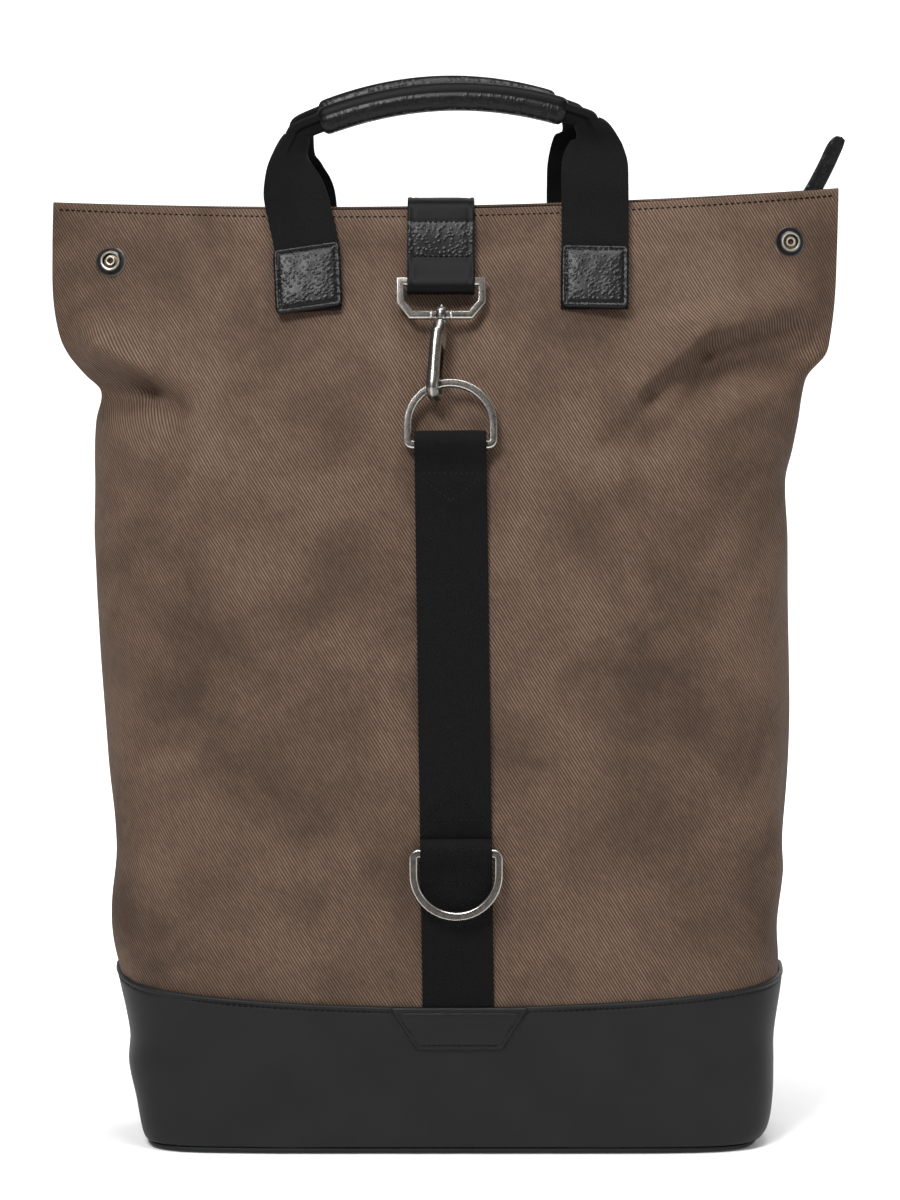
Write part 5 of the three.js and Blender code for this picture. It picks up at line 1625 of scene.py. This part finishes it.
@dataclass
class LeatherTile:
    """Flat piece of leather with rounded corners, a sewn groove and a soft crown."""

    finishes: Wardrobe
    name: str
    nodes: tuple[str, ...]
    height: float
    half_low: float
    half_high: float
    thick: float = 1.8
    corner: float = 3.0
    inset: float = 2.4
    crown: float = 0.5
    count: int = 46
    band_top: float = 0.0

    def build(self, place: Callable[[np.ndarray, np.ndarray, np.ndarray], np.ndarray],
              pebbled: bool = True) -> None:
        """Builds the tile on whatever carries it.

        The half width is a straight line between its two ends, less the rounding of the
        corners. The height over the seat is thick times (1 - exp(-edge distance / 0.45)),
        with a groove at the stitch line and a crown inside it.

        Args:
            place: gives the points for the place across, the place up and the height.
            pebbled: whether the leather is the pebbled one.
        """
        down, up = -self.height / 2, self.height / 2
        s = np.linspace(-1, 1, self.count)
        v = up * np.sign(s) * (1 - (1 - np.abs(s)) ** 1.5)
        share = (v - down) / self.height
        half = self.half_low + (self.half_high - self.half_low) * share
        over = np.clip(np.abs(v) - (up - self.corner), 0, self.corner)
        half = half - self.corner + np.sqrt(np.maximum(self.corner**2 - over**2, 0))
        a = np.sign(s) * (1 - (1 - np.abs(s)) ** 1.5)
        u = a[None, :] * half[:, None]
        vv = np.broadcast_to(v[:, None], u.shape)
        edge = np.minimum(half[:, None] - np.abs(u), up - np.abs(vv))
        height = self.thick * (0.35 + 0.65 * (1 - np.exp(-edge / 0.45)))
        height = height - 0.55 * np.exp(-(((edge - self.inset) / 0.6) ** 2))
        height = height + self.crown * np.sqrt(smoothstep(self.inset, self.inset + 8, edge))
        height = height + self.band_top * smoothstep(up - 7.2, up - 6.2, vv)
        height = height + 0.06 * ripple(u, vv, 9, 81)
        top = place(u, vv, height)
        bottom = place(u, vv, np.zeros_like(height))
        flat = np.stack([u, vv], axis=-1)
        skin, back = Surface(top, flat), Surface(bottom, flat)
        surfaces = [
            skin,
            Surface(bottom[::-1], flat[::-1]),
            edge_strip(back, skin, row=0),
            edge_strip(skin, back, row=-1),
            edge_strip(skin, back, column=0),
            edge_strip(back, skin, column=-1),
        ]
        piece_from(
            self.name,
            surfaces,
            [self.finishes.pebbled if pebbled else self.finishes.label],
            replaces=list(self.nodes),
            sharp=60.0,
        )
        limit = up - self.inset
        low_half = self.half_low - self.inset
        high_half = self.half_high - self.inset
        corners = [(-low_half, -limit), (low_half, -limit), (high_half, limit), (-high_half, limit)]
        rows = []
        for k in range(4):
            (x0, z0), (x1, z1) = corners[k], corners[(k + 1) % 4]
            t = np.linspace(0, 1, 24)
            line_u, line_v = x0 + (x1 - x0) * t, z0 + (z1 - z0) * t
            level = np.full(24, self.thick - 0.35)
            path = place(line_u, line_v, level)
            out = place(line_u, line_v, level + 1)
            rows.append((path, unit(out - path)))
        stitches(f"{self.name}_stitches", rows, self.finishes.thread, 2.5, radius=0.28)


@dataclass
class Label:
    """Bare leather label sewn over the base's upper edge."""

    finishes: Wardrobe
    x: float = 6.5
    height: float = 21.5

    def build(self) -> None:
        """Lays a tapered tile on the leather, with its upper edge level with the base's."""
        middle = FORM.seam_middle + 0.2 - self.height / 2

        def place(u: np.ndarray, v: np.ndarray, height: np.ndarray) -> np.ndarray:
            x, z = self.x + u, middle + v
            wide = FORM.depth_at(Side.FRONT, x, z, BASE_FOLDS) + FORM.gap + FORM.leather_wall
            return np.stack(np.broadcast_arrays(x, -(wide + 0.25 + height), z), axis=-1)

        tile = LeatherTile(
            self.finishes, "bare_label", ("label_patch",), self.height, 21.0, 34.0,
            thick=1.6, corner=1.6, inset=2.4, crown=0.3, band_top=0.35,
        )
        tile.build(place, pebbled=False)


# Handles


@dataclass(frozen=True)
class LegRow:
    """Station of a handle's leg: shares of the half span, the rise and the webbing."""

    across: float
    up: float
    wide: float


LEFT_LEG = (
    LegRow(-0.912, -0.86, 0.96),
    LegRow(-0.922, -0.62, 0.96),
    LegRow(-0.938, -0.32, 0.96),
    LegRow(-0.985, -0.04, 0.96),
    LegRow(-1.025, 0.16, 0.92),
    LegRow(-1.050, 0.33, 0.72),
    LegRow(-1.045, 0.47, 0.52),
    LegRow(-1.010, 0.59, 0.40),
)
RIGHT_LEG = (
    LegRow(0.955, 0.72, 0.40),
    LegRow(0.992, 0.64, 0.60),
    LegRow(1.003, 0.54, 0.82),
    LegRow(1.004, 0.40, 0.98),
    LegRow(1.004, 0.20, 1.00),
    LegRow(1.004, -0.04, 1.00),
    LegRow(1.002, -0.32, 1.00),
    LegRow(0.994, -0.60, 1.00),
    LegRow(0.994, -0.84, 1.00),
)
GRIP_ENDS = ((-0.975, 0.665), (0.935, 0.765))


@dataclass
class Handle:
    """Grab handle: webbing legs that fold narrow into a leather grip, and their patches."""

    finishes: Wardrobe
    name: str
    side: Side
    half_span: float
    centre: float
    lift: float
    web: float = 33.0
    thick: float = 2.0
    rise: float = 58.0
    plies: float = 1.8
    grip_rise: float = 13.5
    grip_back: float = 7.5
    grip_height: float = 14.0
    grip_depth: float = 11.0
    patch_width: float = 33.0
    inward: float = 0.0

    def place(self, across: float, up: float) -> tuple[float, float]:
        """Place of a station in the front plane."""
        mouth = FORM.height - FORM.front_sag + 1
        lifted = self.lift if up > 0.5 else 0.0
        bowed = self.inward * max(0.0, 1 - abs(up - 0.25) / 0.45) if across < 0 else 0.0
        return self.centre + across * self.half_span + bowed, mouth + up * self.rise + lifted

    def leg(self, rows: Sequence[LegRow]) -> np.ndarray:
        """Stations of one leg: x, y, z, width and thickness.

        On the panel the webbing lies on the canvas, and above the mouth its depth eases
        to that of the grip.
        """
        folds = FRONT_FOLDS if self.side is Side.FRONT else BACK_FOLDS
        stations = []
        for row in rows:
            x, z = self.place(row.across, row.up)
            folded = float(np.clip((1 - row.wide) / 0.6, 0, 1))
            thick = self.thick * (1 + (self.plies - 1) * folded)
            low = np.array([min(z, FORM.height - FORM.front_sag - 3)])
            seat = FORM.seat(self.side, np.array([x]), low - 1.0, self.web / 2, folds)[0]
            free = float(smoothstep(-0.05, 0.7, np.array(row.up)))
            deep = (seat + FORM.gap + thick / 2) * (1 - free) + self.grip_back * free
            stations.append((x, self.side.value * deep, z, row.wide * self.web, thick))
        return np.array(stations)

    def arc(self, count: int) -> np.ndarray:
        """Centre line of the grip: a parabola over the straight line between its ends."""
        ends = [np.array([*self.place(*end)]) for end in GRIP_ENDS]
        t = np.linspace(0, 1, count)
        x = ends[0][0] + (ends[1][0] - ends[0][0]) * t
        z = ends[0][1] + (ends[1][1] - ends[0][1]) * t + 4 * self.grip_rise * t * (1 - t)
        return np.stack([x, np.full(count, self.side.value * self.grip_back), z], axis=1)

    def strap(self) -> None:
        """Webbing from patch to patch, folded narrow and thick under the grip."""
        left, right = self.leg(LEFT_LEG), self.leg(RIGHT_LEG)
        arc = self.arc(9)
        middle = np.column_stack([arc, np.full(9, 10.0), np.full(9, self.plies * self.thick)])
        rows = smooth_rows(np.concatenate([left, middle, right]), 300)
        path = rows[:, :3]
        along = tangents(path)
        across = np.stack([along[:, 2], 0 * along[:, 0], -along[:, 0]], axis=1)
        folded = np.clip(1 - rows[:, 3] / self.web, 0, 1)
        power = 9.0 - 6.4 * smoothstep(0.15, 0.5, folded)

        def relief(place: np.ndarray, reach: np.ndarray) -> np.ndarray:
            fold = smoothstep(0.02, 0.4, folded)[:, None]
            half = 0.9 * smoothstep(1.5, 3.5, -place) - 0.5 * np.exp(-(((place + 0.5) / 1.6) ** 2))
            rolled = 0.6 * np.cos(np.pi * place / self.web)
            sewn = -0.14 * np.exp(-(((np.abs(place) - self.web / 2 + 2.2) / 0.5) ** 2))
            return (half + rolled) * fold + sewn * (1 - fold) + 0.14 * ripple(place, reach, 20, 91)

        thick = rows[:, 4] * (1 + 0.35 * smoothstep(0.1, 0.5, folded))
        made = band(path, across, rows[:, 3], thick, power, 64, relief, flat_width=self.web)
        piece_from(
            f"{self.name}_handle_webbing",
            [made],
            [self.finishes.webbing],
            replaces=[f"{self.name}_handle_strap"],
        )

    def grip(self) -> None:
        """Leather sleeve round the folded webbing.

        A rounded section whose front has a turned edge: below the line the pebbled skin
        stands 0.8 mm proud, with a thin bead on the line itself.
        """
        arc = self.arc(90)
        arc = arc[6:-6]
        along = tangents(arc)
        across = np.stack([along[:, 2], 0 * along[:, 0], -along[:, 0]], axis=1)
        upward = np.where(across[:, 2:] < 0, -1.0, 1.0) * across
        outward = np.tile([0.0, float(self.side.value), 0.0], (len(arc), 1))
        angle = 2 * np.pi * np.arange(72) / 72
        power = 2 / 2.6
        u = np.sign(np.cos(angle)) * np.abs(np.cos(angle)) ** power
        v = np.sign(np.sin(angle)) * np.abs(np.sin(angle)) ** power
        line = 0.12
        front = smoothstep(-0.2, 0.3, u)
        step = 0.8 * smoothstep(line + 0.05, line - 0.05, v)
        bead = 0.55 * np.exp(-(((v - line) / 0.06) ** 2))
        swell = (step - 0.8 + bead) * front
        reach = lengths(arc)
        end = np.minimum(reach, reach[-1] - reach)
        ends = 0.72 + 0.28 * np.sqrt(1 - (1 - np.clip(end / 4.0, 0, 1)) ** 2)
        wide = (self.grip_depth / 2 * u[None, :] + swell[None, :]) * ends[:, None]
        high = (self.grip_height / 2 * v[None, :]) * ends[:, None]
        points = arc[:, None, :] + outward[:, None, :] * wide[..., None] + upward[:, None,
                                                                                  :] * high[..., None]
        around = np.broadcast_to((angle * 6.2)[None, :], wide.shape)
        flat = np.stack([around, np.broadcast_to(reach[:, None], wide.shape)], axis=-1)
        caps = [arc[:1, None, :] + 0 * points[:1], arc[-1:, None, :] + 0 * points[:1]]
        points = np.concatenate([caps[0], points, caps[1]])
        flat = np.concatenate([flat[:1], flat, flat[-1:]])
        split = np.flatnonzero((v > line + 0.05) & (u > -0.6))
        order = np.roll(np.arange(72), -int(split[0]))
        points, flat = points[:, order], flat[:, order]
        edge = len(split)
        parts = [
            Surface(points[:, : edge + 1], flat[:, : edge + 1], face=Face.INSIDE),
            Surface(
                np.concatenate([points[:, edge:], points[:, :1]], axis=1),
                np.concatenate([flat[:, edge:], flat[:, :1]], axis=1),
            ),
        ]
        piece_from(
            f"{self.name}_grip_leather",
            parts,
            [self.finishes.pebbled, self.finishes.smooth],
            replaces=[f"{self.name}_grip"],
        )

    def patches(self) -> None:
        """Pebbled tiles over the lower ends of both legs."""
        for end, rows, slant in (
            ("left", self.leg(LEFT_LEG)[:3], 0.09), ("right", self.leg(RIGHT_LEG)[-3:], 0.0)
        ):
            path = rows[:, :3]
            if path[0, 2] > path[-1, 2]:
                path = path[::-1]
            height = float(lengths(path)[-1])
            up = unit(path[-1] - path[0])
            wide = unit(np.cross(up, [0.0, float(self.side.value), 0.0]))
            wide = wide * (1.0 if wide[0] > 0 else -1.0)
            out = np.cross(wide, up)
            out = out * (1.0 if out[1] * self.side.value > 0 else -1.0)
            wide = unit(wide + slant * up)
            middle = (path[0] + path[-1]) / 2 + out * (self.thick / 2 + 0.1)

            place = plane_place(middle, wide, up, out)
            tile = LeatherTile(
                self.finishes,
                f"{self.name}_{end}_patch_leather",
                (f"{self.name}_{end}_patch",),
                height,
                self.patch_width / 2,
                self.patch_width / 2,
                crown=0.7,
            )
            tile.build(place)

    def build(self) -> None:
        """Builds the webbing, the grip and the patches."""
        self.strap()
        self.grip()
        self.patches()


# Zip in the mouth


@dataclass
class Zip:
    """Zip inside the mouth: two tapes with their teeth, and the leather tab at its end."""

    finishes: Wardrobe
    tape_height: float = 20.0
    tape_thick: float = 0.8
    drop: float = 6.0
    gap: float = 0.5
    reach: float = 0.8
    tab_length: float = 30.0
    tab_width: float = 8.0
    tab_thick: float = 2.2

    def tape(self, side: Side) -> None:
        """Tape inside one panel, with a row of teeth along its upper edge."""
        folds = FRONT_FOLDS if side is Side.FRONT else BACK_FOLDS
        across = np.linspace(-self.reach, self.reach, 121)[None, :]
        top = FORM.mouth_height(side, across) - self.drop
        z = top - self.tape_height * np.linspace(1, 0, 9)[:, None]
        offset = -FORM.wall - self.gap
        outer, flat = FORM.panel(side, across, z, offset - 0.3, folds)
        inner, _ = FORM.panel(side, across, z, offset - 0.3 - self.tape_thick, folds)
        skin, back = Surface(outer, flat), Surface(inner, flat)
        surfaces = [
            skin,
            edge_strip(skin, back, row=-1),
            Surface(inner[::-1], flat[::-1]),
            edge_strip(back, skin, row=0),
            edge_strip(skin, back, column=0),
            edge_strip(back, skin, column=-1),
        ]
        name = side.name.lower()
        piece_from(f"{name}_zip_tape", surfaces, [self.finishes.binding],
                   replaces=[f"zip_tape_{name}"])
        row, _ = FORM.panel(side, across, top - 0.6, offset - self.tape_thick - 0.8, folds)
        out = np.tile([0.0, -float(side.value), 0.0], (row.shape[1], 1))
        stitches(f"{name}_zip_teeth", [(row[0], out)], self.finishes.nickel, 1.9, 0.6, 0.8)

    def tab(self) -> None:
        """Pebbled leather tab that stands up at the right end of the mouth and curls over."""
        stations = np.array(
            [(0.965, -0.60, 0.8), (1.015, -0.20, 0.9), (1.055, 0.12, 1.0), (1.090, 0.50, 1.0),
             (1.118, 0.84, 0.95), (1.140, 0.96, 0.6)]
        )
        rows = smooth_rows(stations, 60)
        path = np.stack(
            [rows[:, 0] * FORM.half_width, 0 * rows[:, 0], FORM.height + rows[:, 1] * self.tab_length],
            axis=1
        )
        along = tangents(path)
        across = np.stack([along[:, 2], 0 * along[:, 0], -along[:, 0]], axis=1)
        wide = rows[:, 2] * self.tab_width
        wide[-6:] *= np.sqrt(np.linspace(1, 0.3, 6))
        made = band(path, across, wide, np.full(60, self.tab_thick), np.full(60, 4.0), 40)
        piece_from(
            "zip_tab_leather", [made], [self.finishes.pebbled], replaces=["zip_end_tab"]
        )

    def build(self) -> None:
        """Builds both tapes and the tab."""
        for side in Side:
            self.tape(side)
        self.tab()


# Shoulder straps


PAD_ROWS = np.array(
    [(0.150, 0.00, 1.000, 0.84, 0.36), (0.160, 0.00, 0.965, 0.84, 0.36), (0.165, 0.00, 0.945, 0.84, 0.36),
     (0.185, 0.10, 0.915, 0.86, 0.70), (0.235, 0.50, 0.860, 0.94, 1.00), (0.320, 0.90, 0.760, 1.00, 1.00),
     (0.410, 1.00, 0.640, 1.00, 1.00), (0.490, 0.95, 0.540, 0.90, 1.00), (0.545, 0.84, 0.475, 0.66, 0.80)]
)


@dataclass
class ShoulderStrap:
    """Padded shoulder strap with its binding, adjuster loop, webbing and lower anchor."""

    finishes: Wardrobe
    name: str
    hand: int
    width: float = 50.0
    thick: float = 8.0
    top: float = 405.0
    bow: float = 44.0
    web: float = 25.0

    def pad_line(self) -> np.ndarray:
        """Stations of the pad from its top down: x, y, z, width and thickness."""
        x = PAD_ROWS[:, 0] * FORM.half_width
        z = PAD_ROWS[:, 2] * self.top
        seat = FORM.seat(Side.BACK, x, z - 6, self.width / 2, BACK_FOLDS)
        y = seat + FORM.gap + PAD_ROWS[:, 4] * self.thick / 2 + PAD_ROWS[:, 1] * self.bow
        stations = np.stack(
            [self.hand * x, y, z, PAD_ROWS[:, 3] * self.width, PAD_ROWS[:, 4] * self.thick], axis=1
        )
        return smooth_rows(stations, 170)

    def pad(self) -> np.ndarray:
        """Pad with a crowned section, a stitched channel along each side and bound edges."""
        rows = self.pad_line()
        path = rows[:, :3]
        across = np.tile([1.0, 0.0, 0.0], (len(path), 1))

        def relief(place: np.ndarray, reach: np.ndarray) -> np.ndarray:
            half = rows[:, 3:4] / 2
            edge = half - np.abs(place)
            thin = -0.32 * rows[:, 4:5] * np.exp(-edge / 3.5)
            channel = -0.6 * np.exp(-(((edge - 5.0) / 0.8) ** 2))
            return thin + channel + 0.2 * ripple(place, reach, 30, 101)

        made = band(path, across, rows[:, 3] - 0.6, rows[:, 4] * 1.08, np.full(len(path), 5.0), 72, relief)
        pad = piece_from(
            f"{self.name}_shoulder_padding",
            [made],
            [self.finishes.padding],
            replaces=[f"{self.name}_shoulder_pad"],
        )
        along = tangents(path)
        wide = unit(across - np.einsum("ij,ij->i", across, along)[:, None] * along)
        edges = []
        for way in (-1, 1):
            line = path + wide * (way * (rows[:, 3:4] / 2 - 0.8))
            edges.append(band(line, wide, np.full(len(line), 4.4), np.full(len(line), 3.4),
                              np.full(len(line), 3.0), 20))
        piece_from(f"{self.name}_pad_binding", edges, [self.finishes.binding])
        return path

    def webbing(self, path: np.ndarray) -> None:
        """Loop from the pad into the adjuster, and the webbing from there to the base."""
        anchor = [np.array(corner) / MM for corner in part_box(f"{self.name}_lower_anchor")]
        middle = (anchor[0] + anchor[1]) / 2
        along = unit(path[-1] - path[-2])
        end = path[-1] + along * 1.0
        loop = np.stack([path[-1] - along * 6, path[-1] + along * 1.5, path[-1] + along * 4.6])
        made = level_band(smooth_rows(loop, 14), self.web, 5.2, 3.4, 40)
        piece_from(f"{self.name}_adjuster_loop", [made], [self.finishes.webbing])
        web_y = anchor[1][1] + FORM.gap + 1.0
        length = 26.0 + 2 * 0.3
        stations = np.array(
            [
                end + along * (length - 9.5),
                end + along * (length - 1.0),
                end + along * (length + 3.0),
                [self.hand * 0.670 * FORM.half_width, web_y + (end[1] - web_y) * 0.62, 0.345 * self.top],
                [self.hand * 0.760 * FORM.half_width, web_y + (end[1] - web_y) * 0.30, 0.262 * self.top],
                [middle[0], web_y + 4.5, middle[2] + 22.0],
                [middle[0], web_y, middle[2] + 9.5],
                [middle[0], web_y, middle[2] - 4.8],
            ]
        )
        strap = level_band(smooth_rows(stations, 120), self.web, 1.9, 8.0, 48)
        piece_from(
            f"{self.name}_adjusting_webbing",
            [strap],
            [self.finishes.webbing],
            replaces=[f"{self.name}_lower_webbing"],
        )

        def place(u: np.ndarray, v: np.ndarray, level: np.ndarray) -> np.ndarray:
            x, z = middle[0] + u, middle[2] + v
            return np.stack(np.broadcast_arrays(x, anchor[0][1] + level, z), axis=-1)

        tile = LeatherTile(
            self.finishes,
            f"{self.name}_anchor_leather",
            (f"{self.name}_lower_anchor",),
            float(anchor[1][2] - anchor[0][2]),
            float(anchor[1][0] - anchor[0][0]) / 2,
            float(anchor[1][0] - anchor[0][0]) / 2,
            thick=2.4,
            crown=0.1,
        )
        tile.build(place, pebbled=False)

    def build(self) -> None:
        """Builds the pad, its binding, the webbing and the anchor."""
        self.webbing(self.pad())


@dataclass
class TopAnchor:
    """Leather patch over the upper ends of both shoulder straps."""

    finishes: Wardrobe

    def build(self) -> None:
        """Lays a tile in the CAD patch's own place and lean."""
        low, high = (np.array(corner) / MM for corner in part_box("top_anchor_patch"))
        middle = (low + high) / 2
        rise = high[2] - low[2]
        lean = (low[1] - high[1] + 1.8) / rise
        up = unit(np.array([0.0, lean, 1.0]))
        out = unit(np.array([0.0, 1.0, -lean]))
        place = plane_place(middle - 0.9 * out, np.array([1.0, 0.0, 0.0]), up, out)
        tile = LeatherTile(
            self.finishes, "top_anchor_leather", ("top_anchor_patch",), rise, 48.0, 48.0, crown=0.3
        )
        tile.build(place)


# Studio


@dataclass
class StudioSet:
    """Pale sweep, soft lights and the camera at the photograph's angle."""

    finishes: Wardrobe
    distance: float = 2.0
    elevation: float = 5.0
    aim: tuple[float, float, float] = (0.002, 0.0, 0.270)
    half_height: float = 0.300

    def sweep(self) -> None:
        """Floor that rises behind the bag in one smooth curve."""
        deep = np.linspace(-6000, 5500, 47)
        bend = np.linspace(0, np.pi / 2, 16)[1:]
        y = np.concatenate([deep, 5500 + 1500 * np.sin(bend), [7000.0]])
        z = np.concatenate([0 * deep, 1500 - 1500 * np.cos(bend), [6000.0]])
        x = np.linspace(-15000, 15000, 81)
        points = np.stack(np.broadcast_arrays(x[None, :], y[:, None], z[:, None] - 0.3), axis=-1)
        mesh = bpy.data.meshes.new("studio_sweep")
        grid = Surface(points, points[..., :2].copy())
        mesh.from_pydata((points.reshape(-1, 3) * MM).tolist(), [], grid.quads(0).tolist())
        mesh.materials.append(self.finishes.studio)
        mesh.polygons.foreach_set("use_smooth", np.ones(len(mesh.polygons), dtype=bool))
        floor = bpy.data.objects.new("studio_sweep", mesh)
        bpy.context.scene.collection.objects.link(floor)

    def light(self, name: str, place: tuple[float, float, float], size: float, power: float) -> None:
        """One square area light aimed at the bag."""
        data = bpy.data.lights.new(name, "AREA")
        data.shape = "SQUARE"
        data.size = size
        data.energy = power
        lamp = bpy.data.objects.new(name, data)
        lamp.location = place
        aim = Vector(self.aim) - Vector(place)
        lamp.rotation_mode = "QUATERNION"
        lamp.rotation_quaternion = aim.to_track_quat("-Z", "Y")
        bpy.context.scene.collection.objects.link(lamp)

    def build(self) -> None:
        """Builds the sweep, the lights, the world and the camera."""
        self.sweep()
        self.light("key_light", (-0.7, -1.6, 2.1), 0.8, 62)
        self.light("fill_light", (1.9, -1.7, 0.8), 1.0, 8)
        self.light("top_light", (0.3, -0.5, 2.4), 0.9, 32)
        self.light("rim_light", (1.0, 1.7, 1.2), 1.0, 12)
        scene = bpy.context.scene
        world = bpy.data.worlds.new("studio_air")
        world.use_nodes = True
        background = world.node_tree.nodes["Background"]
        background.inputs[0].default_value = linear("#f6f7f9")
        background.inputs[1].default_value = 0.22
        scene.world = world
        scene.view_settings.view_transform = "Standard"
        camera = bpy.data.objects.new("camera", bpy.data.cameras.new("camera"))
        tilt = math.radians(self.elevation)
        back = Vector((0, -math.cos(tilt), math.sin(tilt)))
        camera.location = Vector(self.aim) + back * self.distance
        camera.rotation_mode = "QUATERNION"
        camera.rotation_quaternion = (-back).to_track_quat("-Z", "Y")
        camera.data.sensor_width = 36.0
        camera.data.lens = 18.0 * self.distance / self.half_height
        scene.collection.objects.link(camera)
        scene.camera = camera


def main() -> None:
    """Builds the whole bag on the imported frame."""
    logging.basicConfig(level=logging.INFO, format="%(name)s: %(message)s")
    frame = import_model()
    finishes = Wardrobe()
    StudioSet(finishes).build()
    Body(finishes).build()
    FrontStrap(finishes).build()
    Metalwork(finishes).build(frame["nodes"])
    Label(finishes).build()
    Handle(finishes, "front", Side.FRONT, 73.0, 0.0, 0.0).build()
    Handle(finishes, "rear", Side.BACK, 69.5, -3.0, 4.0, inward=4.0).build()
    Zip(finishes).build()
    for name, hand in (("right", 1), ("left", -1)):
        ShoulderStrap(finishes, name, hand).build()
    TopAnchor(finishes).build()


if __name__ == "__main__":
    main()
